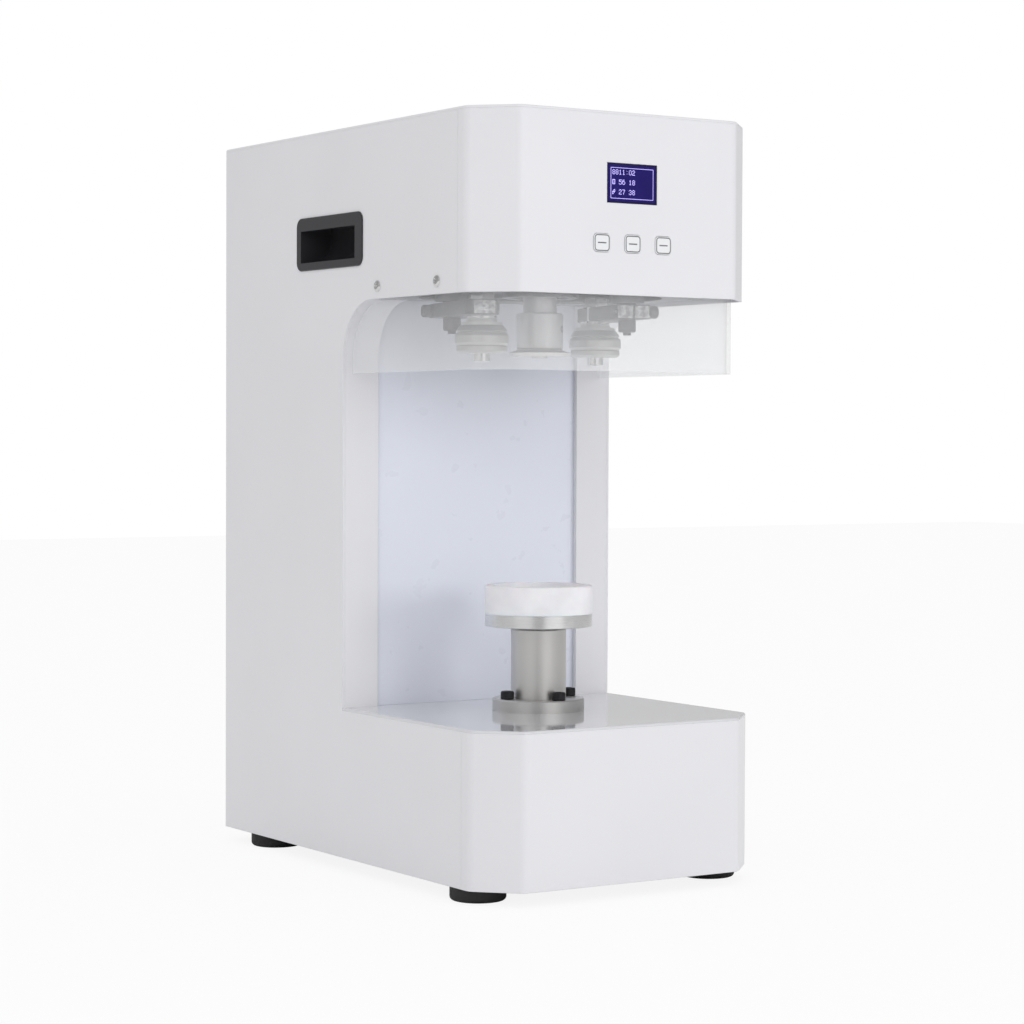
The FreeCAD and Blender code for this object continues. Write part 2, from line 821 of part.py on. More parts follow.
def make_inlet():
    """Rear inlet: flanged housing with a three-pin socket below and the rocker's well above."""
    level = floor + inlet_level
    mouth = rear + rear_trim
    half, tall = inlet_width / 2 + inlet_flange, inlet_height / 2 + inlet_flange
    flange = rounded_block(inlet_x - half, inlet_x + half, rear, mouth, level - tall, level + tall,
                           inlet_corner)
    body = flange.fuse(front_panel_block(inlet_x, level, inlet_width, inlet_height,
                                         rear - inlet_depth, rear))
    z = level + socket_level
    socket = front_panel_block(inlet_x, z, socket_width, socket_height, mouth - socket_depth, mouth + 1)
    upper = [e for e in socket.Edges if e.BoundBox.YLength > socket_depth and e.BoundBox.ZMin > z]
    body = body.cut(socket.makeChamfer(socket_corner, upper))
    for side in (-1, 0, 1):
        lift = pin_height / 2 - pin_height * abs(side)
        body = body.fuse(front_panel_block(inlet_x + side * pin_pitch, z + lift, pin_width, pin_height,
                                           mouth - socket_depth - 1, mouth - pin_sink))
    body = body.cut(front_panel_block(inlet_x, rocker_z, rocker_width + 2 * well_gap,
                                      rocker_height + 4 * well_gap, mouth - rocker_depth - 6, mouth + 1))
    pivot = rod_x(inlet_x - rocker_width / 2 - 2 * well_gap, inlet_x + rocker_width / 2 + 2 * well_gap,
                  rocker_y, rocker_z, rocker_pivot_diameter)
    return body.fuse(pivot).removeSplitter()


def make_rocker():
    """Rocker with two sloped faces, hung on its pivot and tipped to OFF."""
    face = rear + rear_trim - rocker_sink
    back = rocker_y - rocker_pivot_diameter
    half = rocker_height / 2
    points = [(face, -half), (face - rocker_dip, 0), (face, half)]
    points += [(back, half * 0.45), (back, -half * 0.45)]
    outline = [V(inlet_x - rocker_width / 2, y, rocker_z + h) for y, h in points]
    body = Part.Face(Part.makePolygon(outline + outline[:1])).extrude(V(rocker_width, 0, 0))
    body = body.cut(rod_x(inlet_x - rocker_width, inlet_x + rocker_width, rocker_y, rocker_z,
                          rocker_pivot_diameter + 2 * fit_gap))
    body.rotate(V(inlet_x, rocker_y, rocker_z), V(1, 0, 0), -rocker_tilt)
    return body


nodes["power_inlet"] = make_inlet()
nodes["power_rocker"] = make_rocker()


# ---------------------------------------------------------------- frame

def make_head_plate():
    """Thick plate that carries the spindle, the swing shafts and the motors."""
    front = head_front + head_plate_setback
    half = mouth_diameter / 2 + bracket_gap + bracket_foot
    back = column_front + upright_setback + upright_depth
    plate = block(-half, half, front, curve_y - head_plate_gap, plate_low, plate_high)
    narrow = band_inner - sheet - head_plate_gap
    plate = plate.fuse(block(-narrow, narrow, curve_y - head_plate_gap - 1, back, plate_low, plate_high))
    corners = upright_edges(plate, lambda x, y: y < front + 1)
    plate = plate.makeChamfer(corner_chamfer - head_plate_step, corners)
    for turn in (1, -1):
        x, y = turn * swing_x, spindle_y + turn * swing_y
        boss = rod(x, y, head_zero + swing_boss_low, head_zero + swing_boss_high, swing_boss_diameter)
        plate = plate.fuse(boss)
    for turn in (1, -1):
        x, y = turn * swing_x, spindle_y + turn * swing_y
        plate = plate.cut(rod(x, y, head_zero + swing_boss_low - 1, head_zero + swing_boss_high + 1,
                              swing_shaft_diameter + 2 * fit_gap))
    plate = plate.cut(rod(0, spindle_y, plate_low - 1, plate_high + 1, housing_diameter))
    return plate.cut(rod(0, motor_y, plate_low - 1, plate_high + 1, motor_pilot_diameter)).removeSplitter()


def make_column_frame():
    """Two uprights on the bottom plate, tied by a cross plate under the motor."""
    y0 = column_front + upright_setback
    y1 = y0 + upright_depth
    z0 = floor + bottom_thickness
    outer = band_inner - upright_inset
    inner = outer - upright_thickness
    frame = block(inner, outer, y0, y1, z0, plate_low)
    frame = frame.fuse(block(-outer, -inner, y0, y1, z0, plate_low))
    sill = z0 + upright_margin
    frame = frame.cut(block(-outer - 1, outer + 1, y0 + upright_margin, y1 - upright_margin,
                            sill, sill + upright_window))
    z = head_zero + cross_plate_level
    frame = frame.fuse(block(-inner, inner, y0 + cross_plate_inset, y1 - cross_plate_inset,
                             z, z + cross_plate_thickness))
    frame = frame.cut(rod(0, motor_y, z - 1, z + cross_plate_thickness + 1, motor_diameter * 0.6))
    foot = block(-outer, outer, y0, y0 + upright_foot, z0, z0 + upright_thickness)
    rear_foot = foot.translated(V(0, upright_depth - upright_foot, 0))
    return frame.fuse([foot, rear_foot]).removeSplitter()


nodes["head_plate"] = make_head_plate()
nodes["column_frame"] = make_column_frame()


# ---------------------------------------------------------------- spindle and its drive

def make_housing():
    """Flanged spindle housing with a seat for a bearing at each end."""
    low, high = head_zero + housing_low, head_zero + housing_high
    body = tube(0, spindle_y, low, high, housing_diameter, spindle_diameter + 6)
    flange = rod(0, spindle_y, plate_low - housing_flange, plate_low, housing_flange_diameter)
    flange = flange.makeChamfer(1.5, level_edges(flange, plate_low - housing_flange))
    flange = flange.cut(rod(0, spindle_y, low - 1, plate_low + 1, housing_diameter - 2))
    body = body.fuse(flange)
    for seat in bearing_seats:
        seat_low = head_zero + seat
        body = body.cut(rod(0, spindle_y, seat_low, seat_low + bearing_width, bearing_diameter))
    body = body.cut(rod(0, spindle_y, low - 1, head_zero + bearing_seats[0], bearing_diameter - 5))
    upper_mouth = rod(0, spindle_y, head_zero + bearing_seats[1], high + 1, bearing_diameter)
    return body.cut(upper_mouth).removeSplitter()


def make_bearing(x, y, z, outside, bore, width):
    """A shielded ball bearing: two rings joined by a sunken shield."""
    body = tube(x, y, z, z + width, outside, bore)
    middle = (outside + bore) / 2
    shield = tube(x, y, z - 1, z + 0.6, middle + 5, middle - 5)
    return body.cut([shield, shield.translated(V(0, 0, width + 0.4))])


def make_pulley(x, y, level, diameter, bore):
    """A flat-rimmed pulley with a lip at each edge."""
    low, high = head_zero + level, head_zero + level + pulley_width
    r = diameter / 2
    lip = r + pulley_lip
    profile = [(bore / 2, low), (lip, low), (lip, low + 1.2), (r, low + 1.6)]
    profile += [(r, high - 1.6), (lip, high - 1.2), (lip, high), (bore / 2, high)]
    return revolve(profile, x, y)


def belt_loop(grow):
    """The plan of the belt, grown outwards from the pulley rims."""
    ra = spindle_pulley_diameter / 2 + grow
    rb = motor_pulley_diameter / 2 + grow
    span = motor_y - spindle_y
    lean = math.asin((ra - rb) / span)
    z0 = head_zero + pulley_level + 2.2
    z1 = head_zero + pulley_level + pulley_width - 2.2
    side = [(ra * math.cos(lean), spindle_y + ra * math.sin(lean)),
            (rb * math.cos(lean), motor_y + rb * math.sin(lean))]
    other_side = [(-x, y) for x, y in reversed(side)]
    ends = [rod(0, spindle_y, z0, z1, 2 * ra), rod(0, motor_y, z0, z1, 2 * rb)]
    return prism(side + other_side, z0, z1).fuse(ends).removeSplitter()


nodes["spindle_housing"] = make_housing()
nodes["spindle_bearings"] = Part.makeCompound(
    [make_bearing(0, spindle_y, head_zero + seat, bearing_diameter, spindle_diameter + 2 * fit_gap,
                  bearing_width) for seat in bearing_seats])
spindle = rod(0, spindle_y, head_zero + holder_low + 6, head_zero + spindle_top, spindle_diameter)
nodes["spindle_shaft"] = spindle.makeChamfer(1.0, level_edges(spindle, head_zero + spindle_top))
nodes["spindle_pulley"] = make_pulley(0, spindle_y, pulley_level, spindle_pulley_diameter, spindle_diameter)
nodes["drive_belt"] = belt_loop(air_gap + belt_thickness).cut(belt_loop(air_gap))


def make_motor():
    """Main motor hung under the head plate: finned body, end caps, flange and pilot."""
    high = plate_low
    low = high - motor_length
    body = rod(0, motor_y, low + motor_cap, high - motor_cap, motor_diameter)
    for step in range(motor_fin_count):
        angle = 2 * math.pi * step / motor_fin_count
        x = motor_diameter / 2 * math.cos(angle)
        y = motor_y + motor_diameter / 2 * math.sin(angle)
        body = body.cut(rod(x, y, low + motor_cap + 4, high - motor_cap - 4, 2 * motor_fin_depth))
    caps = [rod(0, motor_y, low, low + motor_cap, motor_diameter - 4),
            rod(0, motor_y, high - motor_cap, high, motor_diameter),
            rod(0, motor_y, high, high + head_plate_thickness - 1, motor_pilot_diameter)]
    bore = rod(0, motor_y, high - motor_bore, high + head_plate_thickness,
               motor_shaft_diameter + 2 * fit_gap)
    return body.fuse(caps).cut(bore)


def make_motor_rotor():
    """Motor shaft with the small drive pulley keyed on its end."""
    shaft = rod(0, motor_y, plate_low - motor_bore + 1, head_zero + pulley_level + pulley_width + 3,
                motor_shaft_diameter)
    pulley = make_pulley(0, motor_y, pulley_level, motor_pulley_diameter, motor_shaft_diameter)
    return shaft.fuse(pulley).removeSplitter()


nodes["main_motor"] = make_motor()
nodes["motor_rotor"] = make_motor_rotor()


def make_holder():
    """Chuck holder: a turned sleeve on the spindle nose with softened ends."""
    low, high = head_zero + holder_low, head_zero + holder_high
    sleeve = rod(0, spindle_y, low, high, holder_diameter)
    sleeve = sleeve.makeChamfer(holder_bevel, level_edges(sleeve, low) + level_edges(sleeve, high))
    return sleeve.cut(rod(0, spindle_y, low + 6, high + 1, spindle_diameter))


def make_chuck():
    """Seaming chuck: a flared cone with a sharp rim that seats in the can end, and its bolt."""
    high = head_zero + holder_low
    low = high - chuck_thickness
    rim = chuck_diameter / 2
    neck = holder_diameter / 2 - 1.0
    bolt = chuck_bolt_diameter / 2
    profile = [(0, high), (neck, high), (rim, low + chuck_rim), (rim - 0.6, low), (rim - 4, low),
               (rim - 5, low + 0.8), (bolt, low + 0.8), (bolt, low - chuck_bolt_head + 0.8),
               (0, low - chuck_bolt_head + 0.8)]
    return revolve(profile, 0, spindle_y)


nodes["chuck_holder"] = make_holder()
nodes["chuck"] = make_chuck()


# ---------------------------------------------------------------- seaming arms

lean = math.radians(arm_lean)
along = V(math.sin(lean), math.cos(lean), 0)
across = V(math.cos(lean), -math.sin(lean), 0)
swing = V(arm_x, arm_y, 0)
roller = swing + along * roller_reach - across * roller_offset


def on_arm(u, v, z):
    """A point on the arm, u along it and v outwards from its middle."""
    return swing + along * u + across * v + V(0, 0, z)


def bar(u0, u1, v0, v1, z0, z1):
    """A straight block laid along the arm."""
    corners = [on_arm(u, v, 0) for u, v in ((u0, v0), (u1, v0), (u1, v1), (u0, v1))]
    return prism([(c.x, c.y) for c in corners], z0, z1)


def screw_rod(v0, v1, diameter):
    """A cylinder across the nose of the arm, where the clamp screw lies."""
    z = head_zero + arm_level + arm_thickness / 2
    start = on_arm(-arm_nose + clamp_screw_setback, v0, z)
    return Part.makeCylinder(diameter / 2, v1 - v0, start, across)


arm_low = head_zero + arm_level
arm_high = arm_low + arm_thickness
head_seat = arm_width / 2 - 1.0


def make_arm():
    """Seaming arm: a milled bar, split at the nose to clamp the swing shaft."""
    half = arm_width / 2
    body = bar(-arm_nose, arm_tail, -half, half, arm_low, arm_high)
    tail = [e for e in upright_edges(body, lambda x, y: (V(x, y, 0) - swing).dot(along) > arm_tail - 1)]
    body = body.makeChamfer(5.0, tail)
    body = body.makeChamfer(0.6, [e for e in body.Edges if e.BoundBox.ZLength < 1e-6])
    body = body.cut(rod(arm_x, arm_y, arm_low - 1, arm_high + 1, swing_shaft_diameter))
    body = body.cut(bar(-arm_nose - 1, 0, -arm_slit / 2, arm_slit / 2, arm_low - 1, arm_high + 1))
    body = body.cut(rod(roller.x, roller.y, arm_low - 1, arm_high + 1, roller_pin_diameter))
    body = body.cut(screw_rod(-half - 1, half + 1, clamp_screw_diameter))
    return body.cut(screw_rod(head_seat, half + 1, clamp_screw_head + 0.2))


def make_clamp_screw():
    """Socket-head screw that closes the split nose."""
    shank = screw_rod(-arm_width / 2 + 3, head_seat, clamp_screw_diameter)
    head = screw_rod(head_seat, head_seat + clamp_screw_head_length, clamp_screw_head)
    head_end = head_seat + clamp_screw_head_length
    socket = screw_rod(head_end - 3, head_end + 1, screw_socket_across)
    return shank.fuse(head).cut(socket)


def make_swing_shaft():
    """Swing shaft with the end nut that shows below the arm."""
    low = head_zero + swing_shaft_low
    shaft = rod(arm_x, arm_y, low, head_zero + lever_level + lever_thickness, swing_shaft_diameter)
    shaft = shaft.makeChamfer(0.8, level_edges(shaft, low))
    nut = rod(arm_x, arm_y, low - swing_shaft_nut, low, swing_shaft_nut_diameter)
    return shaft.fuse(nut)


def make_roller():
    """Seaming roller: rim, barrel and lower rim with grooves between, and a stepped hub."""
    low = head_zero + roller_low
    r = roller_diameter / 2
    bore = roller_pin_diameter / 2 + fit_gap
    hub, neck = roller_hub_diameter / 2, roller_neck_diameter / 2
    h = roller_height
    collar = arm_low - roller_collar - air_gap
    lower_rim = [(bore, 0), (hub + 1.5, 0), (hub + 3.5, 1.5), (hub + 3.5, h * 0.22)]
    barrel = [(r - 1.6, h * 0.27), (r, h * 0.36), (r, h * 0.62), (r - 0.8, h * 0.7)]
    groove = [(r - 2.2, h * 0.74), (r - 1.0, h * 0.8), (r - 2.5, h * 0.92), (hub + 0.5, h)]
    step = [(hub, h), (hub, h + roller_step), (neck, h + roller_step)]
    profile = [(radius, low + z) for radius, z in lower_rim + barrel + groove + step]
    return revolve(profile + [(neck, collar), (bore, collar)], roller.x, roller.y)


def make_roller_pin():
    """Roller pin with its collar under the arm and its nut on top."""
    low = head_zero + roller_pin_low
    pin = rod(roller.x, roller.y, low, arm_high + roller_nut_height + 1, roller_pin_diameter)
    pin = pin.makeChamfer(0.6, level_edges(pin, low))
    collar = rod(roller.x, roller.y, arm_low - roller_collar, arm_low, roller_neck_diameter)
    nut = hexagon(roller.x, roller.y, roller_nut_across, arm_high, arm_high + roller_nut_height)
    return pin.fuse([collar, nut]).removeSplitter()


lever_end = swing + V(lever_x, lever_y, 0)
lever_low = head_zero + lever_level
lever_high = lever_low + lever_thickness
cam_low = lever_low - follower_height


def make_lever():
    """Cam lever keyed on the swing shaft, with its follower hanging below."""
    hub = rod(arm_x, arm_y, lever_low, lever_high, lever_hub_diameter)
    end = rod(lever_end.x, lever_end.y, lever_low, lever_high, lever_end_diameter)
    reach = (lever_end - swing).normalize()
    side = V(-reach.y, reach.x, 0) * 6.5
    web_points = [swing + side, lever_end + side, lever_end - side, swing - side]
    web = prism([(p.x, p.y) for p in web_points], lever_low, lever_high)
    follower = rod(lever_end.x, lever_end.y, cam_low, lever_low, follower_diameter)
    body = hub.fuse([end, web, follower]).removeSplitter()
    return body.cut(rod(arm_x, arm_y, lever_low - 1, lever_high + 1, swing_shaft_diameter))


cam_axis = V(swing_cam_x, spindle_y + swing_cam_y, 0)


def turned(vector, degrees):
    """A plan vector turned about Z."""
    a = math.radians(degrees)
    return V(vector.x * math.cos(a) - vector.y * math.sin(a),
             vector.x * math.sin(a) + vector.y * math.cos(a), 0)


def swing_pitch(cam_degrees):
    """Where the follower's centre lies on the turning cam, from the cam's axis."""
    arm_degrees = cam_degrees * swing_angle / swing_cam_turn
    centre = swing + turned(lever_end - swing, arm_degrees)
    return turned(centre - cam_axis, -cam_degrees)


def lift_pitch(cam_degrees):
    """The lift cam's follower centre in the cam's own plane: a spiral of even rise."""
    centre = lift_base_radius + lift_follower_diameter / 2 + cam_gap
    radius = centre + tray_travel * cam_degrees / lift_cam_turn
    return turned(V(0, radius, 0), -cam_degrees)


def cam_face(pitch, turn, clearance):
    """A cam profile: the pitch curve set in by the follower, closed by a smooth back."""
    steps = 24
    spread = turn * 0.06
    points = []
    for step in range(steps + 1):
        degrees = -spread + (turn + 2 * spread) * step / steps
        here = pitch(degrees)
        ahead = (pitch(degrees + 0.5) - pitch(degrees - 0.5)).normalize()
        normal = V(-ahead.y, ahead.x, 0)
        if normal.dot(here) > 0:
            normal = -normal
        points.append(here + normal * clearance)
    active = Part.BSplineCurve()
    active.interpolate(points)
    low, high = points[0], points[-1]
    smaller = min(low.Length, high.Length)
    back = turned(V(low.x, low.y, 0).normalize(), (360 - turn - 2 * spread) / 2) * smaller * 0.9
    closing = Part.BSplineCurve()
    closing.interpolate([points[-1], back, points[0]],
                        Tangents=[(points[-1] - points[-2]) * 6, V(-back.y, back.x, 0) * -1.6,
                                  (points[1] - points[0]) * 6], TangentFlags=[True, True, True])
    return Part.Face(Part.Wire([active.toShape(), closing.toShape()]))


def make_swing_cam():
    """Cam of the right arm on its own short shaft, its face an even spiral."""
    face = cam_face(swing_pitch, swing_cam_turn, follower_diameter / 2 + cam_gap)
    face.translate(cam_axis + V(0, 0, cam_low + air_gap))
    cam = face.extrude(V(0, 0, cam_thickness))
    for step in range(cam_holes):
        place = cam_axis + turned(V(cam_hole_circle / 2, 0, 0), 360 * step / cam_holes + cam_hole_turn)
        cam = cam.cut(rod(place.x, place.y, cam_low - 1, cam_low + cam_thickness + 2, cam_hole_diameter))
    motor_face = plate_high + gearmotor_length + gearmotor_nose
    hub = rod(cam_axis.x, cam_axis.y, motor_face + air_gap, cam_low + cam_thickness + cam_hub_rise,
              cam_hub_diameter)
    shaft_end = motor_face - gearmotor_bore - gearmotor_nose / 2
    shaft = rod(cam_axis.x, cam_axis.y, shaft_end, motor_face + 2 * air_gap, gearmotor_shaft_diameter)
    return cam.fuse([hub, shaft]).removeSplitter()


def make_gearmotor():
    """Small round gearmotor, standing at the origin with its nose up."""
    body = rod(0, 0, 0, gearmotor_length, gearmotor_diameter)
    body = body.makeFillet(gearmotor_round, level_edges(body, gearmotor_length))
    nose = rod(0, 0, gearmotor_length, gearmotor_length + gearmotor_nose, gearmotor_nose_diameter)
    body = body.fuse(nose)
    waist = tube(0, 0, gearmotor_length * 0.55, gearmotor_length * 0.62, gearmotor_diameter + 2,
                 gearmotor_diameter - 2 * gearmotor_waist)
    bore = rod(0, 0, gearmotor_length - gearmotor_bore, gearmotor_length + gearmotor_nose + 1,
               gearmotor_shaft_diameter + 2 * fit_gap)
    return body.cut([waist, bore])


def make_swing_gearmotor():
    """The gearmotor of the right cam, standing on the head plate."""
    return make_gearmotor().translated(cam_axis + V(0, 0, plate_high))


def make_return_spring():
    """Close-wound coil round the right boss that keeps the cam lever against its cam."""
    inner = swing_boss_diameter / 2 + air_gap
    outer = inner + spring_wire
    crest = spring_wire * 0.3
    profile = [(inner, plate_high)]
    for turn in range(spring_turns):
        low = plate_high + turn * spring_wire
        profile += [(outer - crest, low), (outer, low + crest), (outer, low + spring_wire - crest)]
    profile += [(outer - crest, plate_high + spring_turns * spring_wire),
                (inner, plate_high + spring_turns * spring_wire)]
    return revolve(profile, arm_x, arm_y)


right_side = {
    "roller_arm": make_arm(),
    "arm_clamp_screw": make_clamp_screw(),
    "swing_shaft": make_swing_shaft(),
    "seam_roller": make_roller(),
    "roller_pin": make_roller_pin(),
    "cam_lever": make_lever(),
    "seam_cam": make_swing_cam(),
    "seam_gearmotor": make_swing_gearmotor(),
}
for name, shape in right_side.items():
    nodes[name + "_right"] = shape
    nodes[name + "_left"] = half_turn(shape)
spring = make_return_spring()
nodes["return_springs"] = Part.makeCompound([spring, half_turn(spring)])


# ---------------------------------------------------------------- can lift

lift_z = floor + lift_axis_level
frame_top = deck_under
frame_low = frame_top - lift_frame_thickness
leg_inner = lift_frame_width / 2 - lift_leg_thickness
tray_low = floor + pedestal_top + rod_shoulder_gap
tray_high = tray_low + tray_thickness
shoulder = tray_low - air_gap
follower_z = lift_z + lift_base_radius + lift_follower_diameter / 2 + cam_gap
slot_half = lift_follower_width / 2 + air_gap


def make_lift_frame():
    """Bridge under the deck that takes the sealing force down to the bottom plate."""
    y0, y1 = spindle_y - lift_frame_depth / 2, spindle_y + lift_frame_depth / 2
    half = lift_frame_width / 2
    body = block(-half, half, y0, y1, floor + bottom_thickness, frame_top)
    body = body.cut(block(-leg_inner, leg_inner, y0 - 1, y1 + 1, floor + bottom_thickness - 1, frame_low))
    body = body.cut(rod(0, spindle_y, frame_low - 1, frame_top + 1, pedestal_diameter))
    for x, y in flange_screw_places():
        body = body.cut(rod(x, y, frame_low - 1, frame_top + 1, screw_shank_diameter))
    return body


def make_pedestal():
    """Pedestal: screwed flange, ground guide tube and a spigot down into the bridge."""
    flange = rod(0, spindle_y, deck, deck + pedestal_flange, pedestal_flange_diameter)
    flange = flange.makeChamfer(0.8, level_edges(flange, deck + pedestal_flange))
    column = rod(0, spindle_y, deck, floor + pedestal_top, pedestal_diameter)
    column = column.makeChamfer(0.6, level_edges(column, floor + pedestal_top))
    spigot = rod(0, spindle_y, frame_low, deck, pedestal_diameter)
    body = flange.fuse([column, spigot])
    for x, y in flange_screw_places():
        body = body.cut(rod(x, y, deck - 1, deck + pedestal_flange + 1, screw_shank_diameter + 0.4))
    bore = rod(0, spindle_y, frame_low - 1, floor + pedestal_top + 1, rod_diameter + 2 * fit_gap)
    return body.cut(bore).removeSplitter()


def make_flange_screw(x, y):
    """One socket-head screw of the pedestal."""
    seat = deck + pedestal_flange
    head = rod(x, y, seat, seat + screw_head_height, screw_head_diameter)
    head = head.makeChamfer(0.5, level_edges(head, seat + screw_head_height))
    socket = hexagon(x, y, screw_socket_across, seat + screw_head_height - 3, seat + screw_head_height + 1)
    return head.fuse(rod(x, y, frame_low, seat, screw_shank_diameter)).cut(socket)


def make_lift_rod():
    """Lift rod with its bearing stub above and the forked cam follower below."""
    foot = follower_z - lift_follower_diameter / 2 + 2
    body = rod(0, spindle_y, foot, shoulder, rod_diameter)
    slot_top = follower_z + lift_follower_diameter / 2 + 1
    body = body.cut(block(-slot_half, slot_half, spindle_y - rod_diameter, spindle_y + rod_diameter,
                          foot - 1, slot_top))
    half = lift_follower_width / 2
    wheel = rod_x(-half, half, spindle_y, follower_z, lift_follower_diameter)
    pin = rod_x(-rod_diameter / 2 + 2, rod_diameter / 2 - 2, spindle_y, follower_z, lift_pin_diameter)
    stub = rod(0, spindle_y, shoulder, shoulder + tray_bearing_width, tray_stub_diameter)
    return body.fuse([wheel, pin, stub]).removeSplitter()


def make_tray():
    """Aluminium tray that turns on the bearing."""
    tray = rod(0, spindle_y, tray_low, tray_high, tray_diameter)
    tray = tray.makeChamfer(0.5, level_edges(tray, tray_low))
    pocket = rod(0, spindle_y, tray_low - 1, shoulder + tray_bearing_width + air_gap,
                 tray_bearing_diameter + 2 * fit_gap)
    return tray.cut(pocket)


def make_cup():
    """Nylon cup with the recess that centres the can."""
    high = tray_high + cup_height
    cup = rod(0, spindle_y, tray_high, high, tray_diameter)
    cup = cup.makeFillet(cup_round, level_edges(cup, high))
    return cup.cut(rod(0, spindle_y, high - cup_recess_depth, high + 1, cup_recess_diameter))


def make_lift_cam():
    """Lift cam on its short shaft, its face an even spiral."""
    face = cam_face(lift_pitch, lift_cam_turn, lift_follower_diameter / 2 + cam_gap)
    cam = face.extrude(V(0, 0, cam_thickness))
    cam.translate(V(0, 0, -cam_thickness / 2))
    motor_face = leg_inner - gearmotor_length - gearmotor_nose
    hub = rod(0, 0, cam_thickness / 2, motor_face - air_gap, cam_hub_diameter)
    shaft = rod(0, 0, motor_face - 1, motor_face + gearmotor_shaft_length,
                gearmotor_shaft_diameter)
    cam = cam.fuse([hub, shaft]).removeSplitter()
    cam.Placement = FreeCAD.Placement(V(0, spindle_y, lift_z), FreeCAD.Rotation(V(1, 1, 1), 120))
    return cam


def make_lift_gearmotor():
    """The gearmotor of the lift cam, bolted inside the right leg of the bridge."""
    motor = make_gearmotor()
    motor.Placement = FreeCAD.Placement(V(leg_inner, spindle_y, lift_z), FreeCAD.Rotation(V(0, 1, 0), -90))
    return motor


nodes["lift_frame"] = make_lift_frame()
nodes["pedestal"] = make_pedestal()
nodes["flange_screws"] = Part.makeCompound([make_flange_screw(x, y) for x, y in flange_screw_places()])
nodes["lift_rod"] = make_lift_rod()
nodes["tray_bearing"] = make_bearing(0, spindle_y, shoulder, tray_bearing_diameter, tray_stub_diameter,
                                     tray_bearing_width)
nodes["can_tray"] = make_tray()
nodes["can_cup"] = make_cup()
nodes["lift_cam"] = make_lift_cam()
nodes["lift_gearmotor"] = make_lift_gearmotor()

# ---------------------------------------------------------------- export

os.makedirs("parts", exist_ok=True)
for name, shape in nodes.items():
    shape.exportStep("parts/" + name + ".step")
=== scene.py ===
"""A tabletop can seamer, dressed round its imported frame.

The casing, the seaming head, the spindle, the can lift and the inner works are
classes. Each holds its own sizes, builds its small pieces in mesh code and gives
every node and piece its finish. Lengths are metres in the frame of the part:
X across the machine, Y from front to back, Z up.
"""

import logging
import math
from dataclasses import dataclass, field
from enum import Enum
from typing import Sequence

import bmesh
import bpy
from mathutils import Matrix, Vector


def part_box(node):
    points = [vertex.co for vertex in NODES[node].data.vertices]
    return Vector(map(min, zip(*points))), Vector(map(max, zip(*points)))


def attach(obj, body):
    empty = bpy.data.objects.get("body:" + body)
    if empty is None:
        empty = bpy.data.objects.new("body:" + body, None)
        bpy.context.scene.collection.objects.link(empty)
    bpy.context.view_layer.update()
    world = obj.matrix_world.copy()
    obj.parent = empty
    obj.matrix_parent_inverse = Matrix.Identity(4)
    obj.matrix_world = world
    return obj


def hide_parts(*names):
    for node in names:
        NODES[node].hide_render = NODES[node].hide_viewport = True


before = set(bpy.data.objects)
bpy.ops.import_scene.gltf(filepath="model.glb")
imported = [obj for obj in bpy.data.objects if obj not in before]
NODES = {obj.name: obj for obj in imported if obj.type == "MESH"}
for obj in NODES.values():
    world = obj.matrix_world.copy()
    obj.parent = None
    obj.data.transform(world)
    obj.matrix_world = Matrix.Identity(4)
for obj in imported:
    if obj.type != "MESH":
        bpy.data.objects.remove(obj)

LOG = logging.getLogger("can_seamer")
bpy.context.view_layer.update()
MM = 0.001

Colour = tuple[float, float, float]
Point = tuple[float, float]
Socket = bpy.types.NodeSocket


class Side(Enum):
    """A side of the machine, seen from its front."""

    RIGHT = "right"
    LEFT = "left"


class KeyPlace(Enum):
    """Where a key stands under the display."""

    LEFT = "left"
    MIDDLE = "middle"
    RIGHT = "right"


def scaled(colour: Colour, share: float) -> Colour:
    """The colour made darker or paler by a share, with no channel above 1."""
    return tuple(min(1.0, share * channel) for channel in colour)


# ------------------------------------------------------------------ node trees

class Owner(Enum):
    """What a node tree belongs to, by the node that ends the tree."""

    MATERIAL = "ShaderNodeOutputMaterial"
    WORLD = "ShaderNodeOutputWorld"


